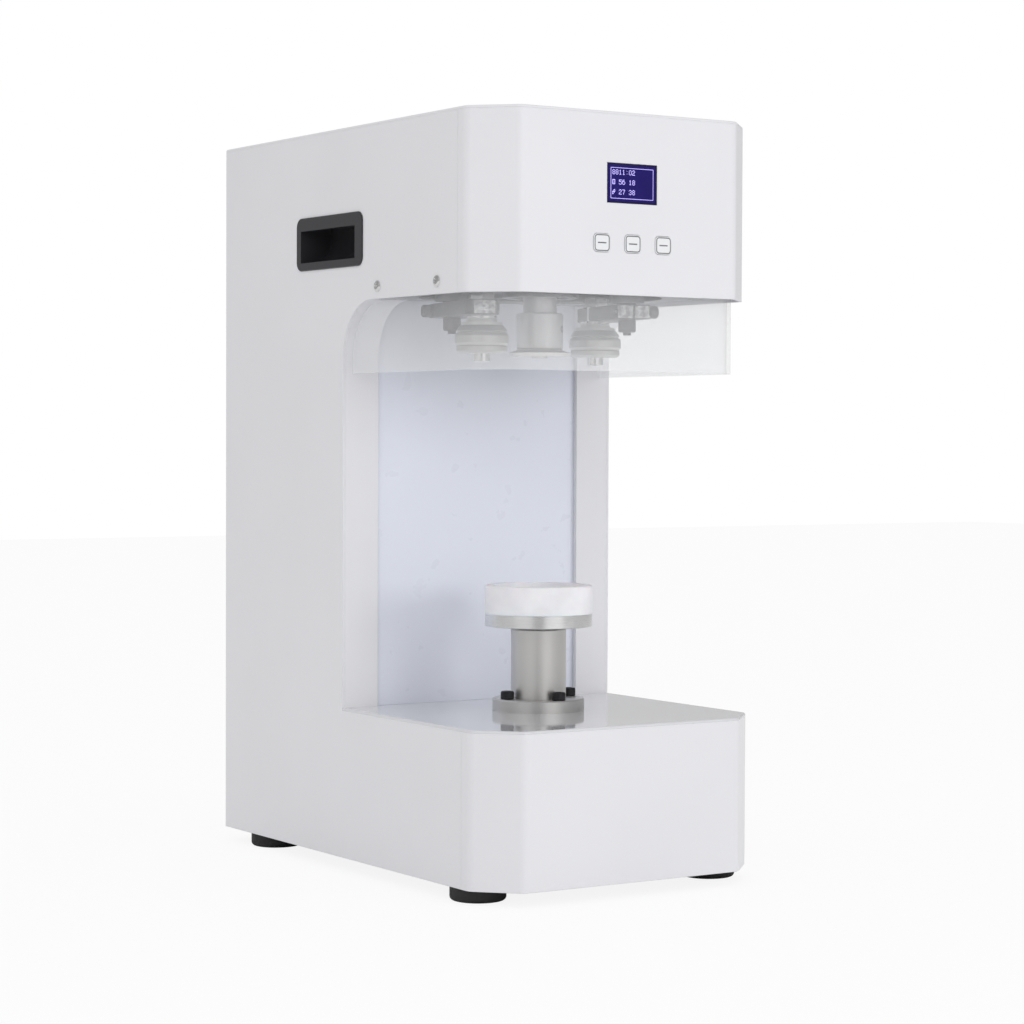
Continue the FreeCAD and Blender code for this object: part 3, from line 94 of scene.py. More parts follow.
class Graph:
    """The node tree of one material or world while it is wired."""

    def __init__(self, name: str, kind: Owner = Owner.MATERIAL) -> None:
        """Starts an empty tree with its output node.

        Args:
            name: Name of the material or world.
            kind: Which of the two it is.
        """
        store, place = ((bpy.data.worlds, "Generated") if kind is Owner.WORLD
                        else (bpy.data.materials, "Object"))
        self.owner = store.new(name)
        self.owner.use_nodes = True
        self.tree = self.owner.node_tree
        self.tree.nodes.clear()
        self.output = self.node(kind.value)
        self.place = self.node("ShaderNodeTexCoord").outputs[place]

    def node(self, kind: str, **settings: object) -> bpy.types.Node:
        """Adds a node.

        Args:
            kind: Blender's name of the node.
            **settings: Properties of the node.

        Returns:
            The new node.
        """
        made = self.tree.nodes.new(kind)
        for name, value in settings.items():
            setattr(made, name, value)
        return made

    def link(self, source: Socket, target: Socket) -> None:
        """Joins an output to an input."""
        self.tree.links.new(source, target)

    def surface(self, shader: bpy.types.Node) -> None:
        """Sends a shader to the surface."""
        self.link(shader.outputs[0], self.output.inputs["Surface"])

    def stretched(self, stretch: Sequence[float]) -> Socket:
        """The object's own coordinates, scaled along each axis.

        Args:
            stretch: Scale along X, Y and Z.

        Returns:
            The scaled vector.
        """
        mapping = self.node("ShaderNodeMapping")
        mapping.inputs["Scale"].default_value = tuple(stretch)
        self.link(self.place, mapping.inputs["Vector"])
        return mapping.outputs["Vector"]

    def noise(self, scale: float, detail: float = 3.0,
              stretch: Sequence[float] = (1.0, 1.0, 1.0)) -> Socket:
        """A noise value over the surface.

        Args:
            scale: Blots in a metre.
            detail: Octaves of finer noise.
            stretch: Scale along each axis, to draw the noise out.

        Returns:
            The noise's factor.
        """
        texture = self.node("ShaderNodeTexNoise")
        texture.inputs["Scale"].default_value = scale
        texture.inputs["Detail"].default_value = detail
        self.link(self.stretched(stretch), texture.inputs["Vector"])
        return texture.outputs["Fac"]

    def ranged(self, value: Socket, low: float, high: float,
               start: float = 0.3, end: float = 0.7) -> Socket:
        """Carries a value from one range to another.

        Args:
            value: The value to carry over.
            low: Result at the start.
            high: Result at the end.
            start: Where the value's own range starts.
            end: Where it ends.

        Returns:
            The new value.
        """
        carry = self.node("ShaderNodeMapRange")
        for name, number in (("From Min", start), ("From Max", end), ("To Min", low), ("To Max", high)):
            carry.inputs[name].default_value = number
        self.link(value, carry.inputs["Value"])
        return carry.outputs["Result"]

    def blend(self, factor: Socket, first: Colour | Socket, second: Colour | Socket) -> Socket:
        """A colour between two, by a factor.

        Args:
            factor: 0 gives the first colour and 1 the second.
            first: The first colour, fixed or from another node.
            second: The second colour, fixed or from another node.

        Returns:
            The mixed colour.
        """
        mix = self.node("ShaderNodeMix", data_type="RGBA")
        sockets = {socket.name: socket for socket in mix.inputs if socket.type == "RGBA"}
        for name, colour in (("A", first), ("B", second)):
            if isinstance(colour, bpy.types.NodeSocket):
                self.link(colour, sockets[name])
            else:
                sockets[name].default_value = (*colour, 1.0)
        self.link(factor, mix.inputs["Factor"])
        return next(socket for socket in mix.outputs if socket.type == "RGBA")

    def worked(self, operation: str, *values: Socket | float) -> Socket:
        """A sum worked out on values.

        Args:
            operation: Blender's name of the operation.
            *values: Its values, fixed or from other nodes.

        Returns:
            The result.
        """
        made = self.node("ShaderNodeMath", operation=operation)
        for value, socket in zip(values, made.inputs):
            if isinstance(value, bpy.types.NodeSocket):
                self.link(value, socket)
            else:
                socket.default_value = value
        return made.outputs[0]

    def seen_or_shone_through(self) -> Socket:
        """1 for rays straight from the camera or through glass, else 0."""
        path = self.node("ShaderNodeLightPath").outputs
        return self.worked("MAXIMUM", path["Is Camera Ray"], path["Is Transmission Ray"])

    def overlaid(self, factor: Socket, under: bpy.types.Node, over: bpy.types.Node) -> bpy.types.Node:
        """Lays one shader over another.

        Args:
            factor: 0 shows the shader below and 1 the one above.
            under: The shader below.
            over: The shader above.

        Returns:
            The mixed shader.
        """
        mix = self.node("ShaderNodeMixShader")
        self.link(factor, mix.inputs["Fac"])
        self.link(under.outputs[0], mix.inputs[1])
        self.link(over.outputs[0], mix.inputs[2])
        return mix

    def facing_axis(self, axis: str) -> Socket:
        """How squarely the surface faces along X, Y or Z, either way round."""
        parts = self.node("ShaderNodeSeparateXYZ")
        self.link(self.node("ShaderNodeNewGeometry").outputs["Normal"], parts.inputs[0])
        return self.worked("ABSOLUTE", parts.outputs[axis])

    def rounded_normal(self, radius: float) -> Socket:
        """The normal as it would be with every edge rounded over."""
        bevel = self.node("ShaderNodeBevel", samples=4)
        bevel.inputs["Radius"].default_value = radius
        return bevel.outputs["Normal"]

    def edge_wear(self, normal: Socket) -> Socket:
        """A mask that is 1 on edges, from how far the rounded normal leaves the true one.

        Args:
            normal: The rounded normal.

        Returns:
            The mask.
        """
        true_normal = self.node("ShaderNodeNewGeometry").outputs["Normal"]
        dot = self.node("ShaderNodeVectorMath", operation="DOT_PRODUCT")
        self.link(normal, dot.inputs[0])
        self.link(true_normal, dot.inputs[1])
        return self.ranged(dot.outputs["Value"], 1.0, 0.0, 0.9, 0.995)

    def bump(self, height: Socket, depth: float,
             normal: Socket | None = None) -> Socket:
        """A bumped normal.

        Args:
            height: The height between 0 and 1.
            depth: What a height of 1 is in metres.
            normal: The normal below the bump, where it isn't the true one.

        Returns:
            The bumped normal.
        """
        bump = self.node("ShaderNodeBump")
        bump.inputs["Distance"].default_value = depth
        self.link(height, bump.inputs["Height"])
        if normal is not None:
            self.link(normal, bump.inputs["Normal"])
        return bump.outputs["Normal"]


# -------------------------------------------------------------------- finishes

@dataclass(frozen=True)
class Finish:
    """A finish: its colour, how rough it lies, and what its own class adds."""

    name: str
    slot: str
    colour: Colour
    roughness: float

    def material(self) -> bpy.types.Material:
        """The material, made once."""
        return bpy.data.materials.get(self.name) or self.make()

    def shader(self, graph: Graph, **constants: object) -> bpy.types.Node:
        """Adds the shader with its colour, roughness and other constants.

        Args:
            graph: The tree being wired.
            **constants: Sockets of the shader, with _ for a space.

        Returns:
            The shader node.
        """
        shader = graph.node("ShaderNodeBsdfPrincipled")
        shader.inputs["Base Color"].default_value = (*self.colour, 1.0)
        shader.inputs["Roughness"].default_value = self.roughness
        for name, value in constants.items():
            shader.inputs[name.replace("_", " ")].default_value = value
        graph.surface(shader)
        return shader

    def make(self) -> bpy.types.Material:
        """Wires the material of a plain finish with a slight cloud in its colour and gloss."""
        graph = Graph(self.name)
        shader = self.shader(graph)
        cloud = graph.noise(40.0)
        tone = graph.blend(graph.ranged(cloud, 0.0, 1.0), self.colour, scaled(self.colour, 0.88))
        graph.link(tone, shader.inputs["Base Color"])
        graph.link(graph.ranged(cloud, self.roughness * 0.85, self.roughness * 1.15),
                   shader.inputs["Roughness"])
        return graph.owner


@dataclass(frozen=True)
class PowderCoat(Finish):
    """Baked powder coat: an even colour with a faint orange peel and rubbed edges."""

    peel: float = 0.00002
    gloss_coat: float = 0.0
    edge_radius: float = 0.0007

    def make(self) -> bpy.types.Material:
        """Wires the coat."""
        graph = Graph(self.name)
        shader = self.shader(graph, Coat_Weight=self.gloss_coat, Coat_Roughness=0.04, Specular_IOR_Level=0.5)
        rounded = graph.rounded_normal(self.edge_radius)
        cloud = graph.noise(9.0, 2.0)
        tone = graph.blend(graph.ranged(cloud, 0.0, 1.0), self.colour, scaled(self.colour, 0.975))
        rubbed = graph.blend(graph.edge_wear(rounded), tone, scaled(self.colour, 1.05))
        graph.link(rubbed, shader.inputs["Base Color"])
        graph.link(graph.ranged(graph.noise(60.0), self.roughness * 0.9, self.roughness * 1.1),
                   shader.inputs["Roughness"])
        graph.link(graph.bump(graph.noise(700.0, 1.0), self.peel, rounded), shader.inputs["Normal"])
        return graph.owner


@dataclass(frozen=True)
class TurnedMetal(Finish):
    """Metal turned on a lathe: fine rings round the axis and streaks of light along it."""

    rings: float = 3000.0
    ring_depth: float = 0.000004
    anisotropy: float = 0.75
    stain: float = 0.12

    def make(self) -> bpy.types.Material:
        """Wires the metal."""
        graph = Graph(self.name)
        shader = self.shader(graph, Metallic=1.0, Anisotropic=self.anisotropy, Anisotropic_Rotation=0.25)
        tangent = graph.node("ShaderNodeTangent", direction_type="RADIAL", axis="Z")
        graph.link(tangent.outputs["Tangent"], shader.inputs["Tangent"])
        ring = graph.noise(1.0, 2.0, (12.0, 12.0, self.rings))
        cloud = graph.noise(60.0, 4.0)
        stained = scaled(self.colour, 1.0 - self.stain)
        graph.link(graph.blend(graph.ranged(cloud, 0.0, 1.0), self.colour, stained),
                   shader.inputs["Base Color"])
        graph.link(graph.ranged(ring, self.roughness * 0.8, self.roughness * 1.25), shader.inputs["Roughness"])
        graph.link(graph.bump(ring, self.ring_depth, graph.rounded_normal(0.0003)), shader.inputs["Normal"])
        return graph.owner


@dataclass(frozen=True)
class MilledMetal(Finish):
    """Milled or ground plate: crossed tool marks, smudges and bright edges."""

    mark_scale: float = 900.0
    mark_depth: float = 0.00002
    contrast: float = 0.35
    metallic: float = 1.0

    def make(self) -> bpy.types.Material:
        """Wires the metal."""
        graph = Graph(self.name)
        shader = self.shader(graph, Metallic=self.metallic)
        rounded = graph.rounded_normal(0.0004)
        marks = graph.noise(1.0, 3.0, (self.mark_scale, self.mark_scale * 0.12, self.mark_scale))
        smudge = graph.noise(130.0, 5.0)
        darker = scaled(self.colour, 1.0 - self.contrast)
        tone = graph.blend(graph.ranged(smudge, 0.0, 1.0), self.colour, darker)
        rubbed = graph.blend(graph.edge_wear(rounded), tone, scaled(self.colour, 1.5))
        graph.link(rubbed, shader.inputs["Base Color"])
        graph.link(graph.ranged(marks, self.roughness * 0.75, self.roughness * 1.3), shader.inputs["Roughness"])
        graph.link(graph.bump(marks, self.mark_depth, rounded), shader.inputs["Normal"])
        return graph.owner


@dataclass(frozen=True)
class Moulding(Finish):
    """Moulded plastic or rubber with a fine grain, paler where it is handled."""

    grain: float = 1500.0
    grain_depth: float = 0.00003
    coat: float = 0.0
    subsurface: float = 0.0

    def make(self) -> bpy.types.Material:
        """Wires the plastic."""
        graph = Graph(self.name)
        shader = self.shader(graph, Coat_Weight=self.coat, Coat_Roughness=0.08,
                             Subsurface_Weight=self.subsurface, Subsurface_Scale=0.004)
        rounded = graph.rounded_normal(0.0005)
        handled = tuple(min(1.0, 1.12 * c + 0.004) for c in self.colour)
        cloud = graph.noise(45.0, 4.0)
        graph.link(graph.blend(graph.ranged(cloud, 0.0, 1.0), self.colour, handled),
                   shader.inputs["Base Color"])
        graph.link(graph.ranged(cloud, self.roughness * 0.85, self.roughness * 1.2), shader.inputs["Roughness"])
        graph.link(graph.bump(graph.noise(self.grain, 2.0), self.grain_depth, rounded), shader.inputs["Normal"])
        return graph.owner


@dataclass(frozen=True)
class ClearSheet(Finish):
    """Clear acrylic: a thin veil over what lies behind, glossy faces, painted reflection on the side walls and a
    painted highlight on the cut edges.
    """

    veil: float = 0.05
    side_painted_reflection: float = 0.16
    edge_painted_highlight: float = 0.75
    index: float = 1.49

    def make(self) -> bpy.types.Material:
        """Wires the sheet; light passes straight through it."""
        graph = Graph(self.name)
        clear = graph.node("ShaderNodeBsdfTransparent")
        clear.inputs["Color"].default_value = (*self.colour, 1.0)
        # A pale matt layer: the thin veil, and the painted reflection and painted highlight.
        veil_and_painted_light = graph.node("ShaderNodeBsdfDiffuse")
        veil_and_painted_light.inputs["Color"].default_value = (0.80, 0.82, 0.86, 1.0)
        gloss = graph.node("ShaderNodeBsdfGlossy")
        gloss.inputs["Color"].default_value = (1.0, 1.0, 1.0, 1.0)
        smear = graph.noise(35.0, 4.0)
        graph.link(graph.ranged(smear, self.roughness * 0.5, self.roughness * 1.5), gloss.inputs["Roughness"])
        plain = graph.ranged(smear, self.veil * 0.8, self.veil * 1.2)
        # Walls that face sideways get a thicker veil: painted reflection.
        sides = graph.ranged(graph.facing_axis("X"), 0.0, self.side_painted_reflection, 0.7, 0.9)
        # Cut edges that face up and down turn pale: painted highlight.
        edges = graph.ranged(graph.facing_axis("Z"), 0.0, self.edge_painted_highlight, 0.6, 0.9)
        veiled = graph.overlaid(graph.worked("MAXIMUM", graph.worked("MAXIMUM", plain, sides), edges), clear, veil_and_painted_light)
        mirror = graph.node("ShaderNodeFresnel")
        mirror.inputs["IOR"].default_value = self.index
        graph.surface(graph.overlaid(mirror.outputs[0], veiled, gloss))
        return graph.owner


@dataclass(frozen=True)
class FacedMetal(Finish):
    """Blackened plate whose front ends are milled bright and mottled."""

    face: Colour = (0.62, 0.62, 0.61)
    mottle: float = 0.6

    def make(self) -> bpy.types.Material:
        """Wires the plate and its bright ends."""
        graph = Graph(self.name)
        shader = self.shader(graph, Metallic=1.0)
        parts = graph.node("ShaderNodeSeparateXYZ")
        graph.link(graph.node("ShaderNodeNewGeometry").outputs["Normal"], parts.inputs[0])
        front = graph.ranged(parts.outputs["Y"], 1.0, 0.0, -0.9, -0.8)
        grain = graph.noise(1.0, 3.0, (300.0, 300.0, 900.0))
        smudge = graph.noise(130.0, 5.0)
        dulled = scaled(self.face, 1.0 - self.mottle)
        plain = graph.blend(graph.ranged(smudge, 0.0, 1.0), self.colour, scaled(self.colour, 0.65))
        bright = graph.blend(graph.ranged(graph.noise(260.0, 5.0), 0.0, 1.0, 0.4, 0.6), self.face, dulled)
        graph.link(graph.blend(front, plain, bright), shader.inputs["Base Color"])
        graph.link(graph.ranged(smudge, self.roughness * 0.8, self.roughness * 1.3), shader.inputs["Roughness"])
        graph.link(graph.bump(grain, 0.00003, graph.rounded_normal(0.0004)), shader.inputs["Normal"])
        return graph.owner


@dataclass(frozen=True)
class LitGlass(Finish):
    """A lit liquid-crystal face: a deep colour that glows a little, uneven from the lamp behind."""

    glow: float = 0.5

    def make(self) -> bpy.types.Material:
        """Wires the face."""
        graph = Graph(self.name)
        shader = self.shader(graph, Emission_Strength=self.glow, Specular_IOR_Level=0.3)
        cloud = graph.noise(55.0, 1.0)
        tone = graph.blend(graph.ranged(cloud, 0.0, 1.0), self.colour, scaled(self.colour, 0.8))
        graph.link(tone, shader.inputs["Base Color"])
        graph.link(tone, shader.inputs["Emission Color"])
        return graph.owner


WHITE_COAT = PowderCoat("white_coat", "white_paint", (0.80, 0.80, 0.83), 0.32)
DECK_COAT = PowderCoat("deck_coat", "white_paint", (0.74, 0.74, 0.77), 0.10, gloss_coat=0.7)
# The throat's back panel is the same white paint; its bluish colour is painted reflection and shade.
THROAT_PAINTED_BLUE_LIGHT = PowderCoat("throat_painted_blue_light", "throat_white", (0.80, 0.83, 0.92), 0.30, gloss_coat=0.1)
# On the head's underside, which is white paint, this grey is painted shade; the base's bottom plate and the inner
# frames take the same grey.
GREY_PAINT_AND_PAINTED_SHADE = PowderCoat("grey_paint_and_painted_shade", "grey_paint", (0.36, 0.36, 0.38), 0.45)
TURNED_STEEL = TurnedMetal("turned_steel", "turned_steel", (0.68, 0.67, 0.66), 0.20)
TURNED_ALUMINIUM = TurnedMetal("turned_aluminium", "aluminium", (0.86, 0.86, 0.86), 0.30)
ROLLER_STEEL = TurnedMetal("roller_steel", "roller_steel", (0.30, 0.29, 0.27), 0.22, stain=0.45)
PIN_STEEL = TurnedMetal("pin_steel", "roller_steel", (0.82, 0.81, 0.79), 0.12, anisotropy=0.4)
BEARING_STEEL = TurnedMetal("bearing_steel", "bearing_steel", (0.75, 0.75, 0.76), 0.15, anisotropy=0.3)
MILLED_STEEL = MilledMetal("milled_steel", "machined_steel", (0.30, 0.30, 0.31), 0.38)
ARM_STEEL = FacedMetal("arm_steel", "machined_steel", (0.05, 0.05, 0.055), 0.34)
PLATE_STEEL = MilledMetal("plate_steel", "machined_steel", (0.30, 0.30, 0.31), 0.42)
CAM_STEEL = MilledMetal("cam_steel", "cam_steel", (0.22, 0.22, 0.23), 0.35)
SPRING_STEEL = MilledMetal("spring_steel", "spring_steel", (0.30, 0.30, 0.31), 0.35)
BLACK_OXIDE = MilledMetal("black_oxide", "black_screw", (0.030, 0.030, 0.034), 0.35, metallic=0.6)
BRIGHT_ZINC = MilledMetal("bright_zinc", "zinc_screw", (0.80, 0.80, 0.80), 0.16, contrast=0.15)
MOTOR_CASE = MilledMetal("motor_case", "aluminium", (0.55, 0.55, 0.56), 0.40)
BLACK_PLASTIC = Moulding("black_plastic", "black_plastic", (0.020, 0.020, 0.023), 0.22, grain_depth=0.00001,
                         coat=0.3)
BLACK_RUBBER = Moulding("black_rubber", "rubber", (0.012, 0.012, 0.012), 0.62)
FROSTED_NYLON = Moulding("frosted_nylon", "nylon", (0.80, 0.80, 0.83), 0.38, subsurface=0.25)
KEY_PLASTIC = Moulding("key_plastic", "key_plastic", (0.80, 0.80, 0.82), 0.30)
KEY_PRINT = Moulding("key_print", "key_plastic", (0.16, 0.16, 0.17), 0.45)
BOARD_LACQUER = Moulding("board_lacquer", "board", (0.02, 0.14, 0.07), 0.30)
CLEAR_ACRYLIC = ClearSheet("clear_acrylic", "clear_acrylic", (0.985, 0.988, 1.0), 0.03)
DISPLAY_BORDER = Moulding("display_border", "display", (0.006, 0.003, 0.055), 0.12, grain_depth=0.000002)
DISPLAY_FIELD = LitGlass("display_field", "display", (0.010, 0.005, 0.11), 0.20, glow=0.25)
DISPLAY_DOTS = LitGlass("display_dots", "display", (0.50, 0.44, 0.95), 0.20, glow=0.8)


# ------------------------------------------------------------------ mesh tools

def polar(radius: float, angle: float, height: float) -> tuple[float, float, float]:
    """The point at a radius, an angle and a height."""
    return (radius * math.cos(angle), radius * math.sin(angle), height)


def turns(steps: int, start: float = 0.0) -> list[float]:
    """Even angles round a full turn, in radians."""
    return [start + 2 * math.pi * step / steps for step in range(steps)]


def lathe(profile: Sequence[Point], steps: int = 48) -> bmesh.types.BMesh:
    """Turns a profile about Z.

    Args:
        profile: Radius and height of each point; a radius of zero closes an end.
        steps: Faces round the turn.

    Returns:
        The turned mesh.
    """
    made = bmesh.new()
    rings: list[list[bmesh.types.BMVert]] = []
    for radius, height in profile:
        if radius < 1e-9:
            rings.append([made.verts.new((0.0, 0.0, height))])
            continue
        rings.append([made.verts.new(polar(radius, angle, height)) for angle in turns(steps)])
    for low, high in zip(rings, rings[1:]):
        for step in range(steps):
            after = (step + 1) % steps
            corners = [low[step % len(low)], low[after % len(low)],
                       high[after % len(high)], high[step % len(high)]]
            unique = list(dict.fromkeys(corners))
            if len(unique) > 2:
                made.faces.new(unique)
    bmesh.ops.recalc_face_normals(made, faces=made.faces)
    return made


def stacked(rings: Sequence[Sequence[tuple[float, float, float]]]) -> bmesh.types.BMesh:
    """Joins rings that have as many points, one after another, and closes both ends.

    Args:
        rings: The points of each ring in order.

    Returns:
        The closed mesh.
    """
    made = bmesh.new()
    loops = [[made.verts.new(point) for point in ring] for ring in rings]
    for low, high in zip(loops, loops[1:]):
        for step in range(len(low)):
            after = (step + 1) % len(low)
            made.faces.new([low[step], low[after], high[after], high[step]])
    made.faces.new(loops[-1])
    made.faces.new(list(reversed(loops[0])))
    bmesh.ops.recalc_face_normals(made, faces=made.faces)
    return made


def shank(diameter: float, length: float) -> bmesh.types.BMesh:
    """A plain shank that hangs from the origin."""
    radius = diameter / 2
    return lathe([(0.0, 0.0), (radius, 0.0), (radius, -length), (0.0, -length)], 24)


def slab(outline: Sequence[Point], low: float, high: float) -> bmesh.types.BMesh:
    """Raises a plan outline from one height to another.

    Args:
        outline: The corners in order.
        low: Height of the lower face.
        high: Height of the upper face.

    Returns:
        The closed mesh.
    """
    made = bmesh.new()
    base = made.faces.new([made.verts.new((x, y, low)) for x, y in outline])
    grown = bmesh.ops.extrude_face_region(made, geom=[base])
    moved = [v for v in grown["geom"] if isinstance(v, bmesh.types.BMVert)]
    bmesh.ops.translate(made, verts=moved, vec=(0.0, 0.0, high - low))
    bmesh.ops.recalc_face_normals(made, faces=made.faces)
    return made


def band(outer: Sequence[Point], inner: Sequence[Point], low: float, high: float) -> bmesh.types.BMesh:
    """A closed band between two outlines with as many corners.

    Args:
        outer: The outer outline.
        inner: The inner outline.
        low: Height of the lower face.
        high: Height of the upper face.

    Returns:
        The closed mesh.
    """
    made = bmesh.new()
    loops = [[made.verts.new((x, y, z)) for x, y in outline]
             for outline, z in ((outer, low), (outer, high), (inner, high), (inner, low))]
    count = len(outer)
    for first, second in zip(loops, loops[1:] + loops[:1]):
        for step in range(count):
            after = (step + 1) % count
            made.faces.new([first[step], first[after], second[after], second[step]])
    bmesh.ops.recalc_face_normals(made, faces=made.faces)
    return made


def rounded_outline(width: float, height: float, corner: float, steps: int = 6) -> list[Point]:
    """The outline of a rectangle with rounded corners, round the origin.

    Args:
        width: Full width.
        height: Full height.
        corner: Corner radius.
        steps: Points in each corner.

    Returns:
        The corners in order.
    """
    points: list[Point] = []
    for quarter, (sx, sy) in enumerate(((1, 1), (-1, 1), (-1, -1), (1, -1))):
        cx, cy = sx * (width / 2 - corner), sy * (height / 2 - corner)
        for step in range(steps + 1):
            angle = math.pi / 2 * (quarter + step / steps)
            points.append((cx + corner * math.cos(angle), cy + corner * math.sin(angle)))
    return points


def polygon(sides: int, radius: float, start: float = 0.0) -> list[Point]:
    """A regular outline round the origin.

    Args:
        sides: How many corners.
        radius: Distance of the corners.
        start: Angle of the first corner in radians.

    Returns:
        The corners in order.
    """
    return [polar(radius, angle, 0.0)[:2] for angle in turns(sides, start)]


def soften(made: bmesh.types.BMesh, width: float, sharper_than: float = 40.0) -> bmesh.types.BMesh:
    """Rounds over the sharp edges of a mesh.

    Args:
        made: The mesh, changed in place.
        width: Width of the round.
        sharper_than: Edges that turn more than this many degrees are rounded.

    Returns:
        The same mesh.
    """
    limit = math.radians(sharper_than)
    sharp = [e for e in made.edges if e.is_manifold and e.calc_face_angle(0.0) > limit]
    bmesh.ops.bevel(made, geom=sharp, offset=width, segments=2, profile=0.6, affect="EDGES")
    return made


def joined(parts: Sequence[bmesh.types.BMesh]) -> bmesh.types.BMesh:
    """Puts several meshes into the first and frees the rest.

    Args:
        parts: The meshes to put together.

    Returns:
        The first mesh, with all of them in it.
    """
    whole = parts[0]
    for part in parts[1:]:
        spare = bpy.data.meshes.new("spare")
        part.to_mesh(spare)
        part.free()
        whole.from_mesh(spare)
        bpy.data.meshes.remove(spare)
    return whole


def placed(made: bmesh.types.BMesh, matrix: Matrix) -> bmesh.types.BMesh:
    """Moves a mesh by a matrix and returns it."""
    bmesh.ops.transform(made, matrix=matrix, verts=made.verts)
    return made


def facing(place: Vector, direction: Vector, roll: float = 0.0) -> Matrix:
    """The matrix that stands a mesh at a place with its Z along a direction.

    Args:
        place: Where the mesh's origin goes.
        direction: Where its Z points.
        roll: Turn about that direction in radians.

    Returns:
        The matrix.
    """
    turn = direction.normalized().to_track_quat("Z", "Y").to_matrix().to_4x4()
    return Matrix.Translation(place) @ turn @ Matrix.Rotation(roll, 4, "Z")


def piece(name: str, made: bmesh.types.BMesh, finish: Finish, body: str,
          replaces: Sequence[str] = (), smooth_below: float = 35.0) -> bpy.types.Object:
    """Turns a mesh into a piece of the machine.

    Args:
        name: Name of the piece.
        made: Its mesh, which is freed.
        finish: Its finish.
        body: The body it rides on.
        replaces: Nodes of the frame that it stands for.
        smooth_below: Edges that turn less than this many degrees are shaded smooth.

    Returns:
        The new object.
    """
    mesh = bpy.data.meshes.new(name)
    made.to_mesh(mesh)
    made.free()
    mesh.materials.append(finish.material())
    mesh.polygons.foreach_set("use_smooth", [True] * len(mesh.polygons))
    mesh.set_sharp_from_angle(angle=math.radians(smooth_below))
    obj = bpy.data.objects.new(name, mesh)
    bpy.context.scene.collection.objects.link(obj)
    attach(obj, body)
    if replaces:
        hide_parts(*replaces)
    LOG.info("piece %s on %s, %s", name, body, finish.name)
    return obj


def dress(finish: Finish, *nodes: str) -> None:
    """Gives nodes of the frame a finish.

    Args:
        finish: The finish.
        *nodes: Names of the nodes.
    """
    for name in nodes:
        mesh = NODES[name].data
        mesh.materials.clear()
        mesh.materials.append(finish.material())
        LOG.info("node %s, %s", name, finish.name)


# ------------------------------------------------------------------- fasteners

@dataclass(frozen=True)
class SocketScrew:
    """A socket-head cap screw with a knurled head."""

    head: float = 10.0 * MM
    head_length: float = 6.0 * MM
    socket: float = 5.0 * MM
    shank: float = 6.0 * MM
    shank_length: float = 16.0 * MM
    knurls: int = 26
    socket_share: float = 0.55

    def mesh(self) -> bmesh.types.BMesh:
        """The screw, standing on the origin with its head up and its shank below."""
        tall, radius = self.head_length, self.head / 2
        angles = turns(self.knurls * 4)
        rise = (0.0, 0.62, 1.0, 0.62)
        shape = ((0.90, 0.0, 0.0), (0.955, 0.035, 0.08), (0.955, 0.035, 0.82), (0.93, 0.01, 0.93),
                 (0.84, 0.0, 1.0))
        rings = [[polar(radius * (share + knurl * rise[step % 4]), angle, tall * level)
                  for step, angle in enumerate(angles)] for share, knurl, level in shape]
        rings += [[polar(self.hexagon_reach(angle), angle, level) for angle in angles]
                  for level in (tall, tall * (1.0 - self.socket_share))]
        return joined([stacked(rings), shank(self.shank, self.shank_length)])

    def hexagon_reach(self, angle: float) -> float:
        """How far the hexagon of the socket reaches in one direction."""
        sixth = math.pi / 3
        return self.socket / 2 / math.cos((angle + sixth / 2) % sixth - sixth / 2)


@dataclass(frozen=True)
class PanScrew:
    """A cross-recessed pan-head screw."""

    head: float = 8.4 * MM
    head_length: float = 1.6 * MM
    shank: float = 4.0 * MM
    shank_length: float = 0.0

    def mesh(self) -> bmesh.types.BMesh:
        """The screw, standing on the origin with its head up."""
        radius, tall = self.head / 2, self.head_length
        arm, half = radius * 0.52, radius * 0.12
        angles = turns(48)
        dome = ((1.0, 0.0), (1.0, 0.22), (0.95, 0.5), (0.84, 0.75), (0.68, 0.92), (0.58, 0.98))
        rings = [[polar(radius * share, angle, tall * level) for angle in angles] for share, level in dome]
        rings += [[polar(share * self.cross_reach(angle, arm, half), angle, tall * level) for angle in angles]
                  for level, share in ((1.0, 1.0), (0.15, 0.62))]
        head = stacked(rings)
        return joined([head, shank(self.shank, self.shank_length)]) if self.shank_length else head

    @staticmethod
    def cross_reach(angle: float, arm: float, half: float) -> float:
        """How far a cross-shaped recess reaches in one direction.

        Args:
            angle: The direction in radians.
            arm: Length of an arm from the middle.
            half: Half the width of an arm.

        Returns:
            The reach.
        """
        off = abs((angle + math.pi / 4) % (math.pi / 2) - math.pi / 4)
        along = arm / math.cos(off)
        if off < 1e-6:
            return along
        return min(along, max(half / math.sin(off), half * math.sqrt(2)))


# --------------------------------------------------------------------- casing

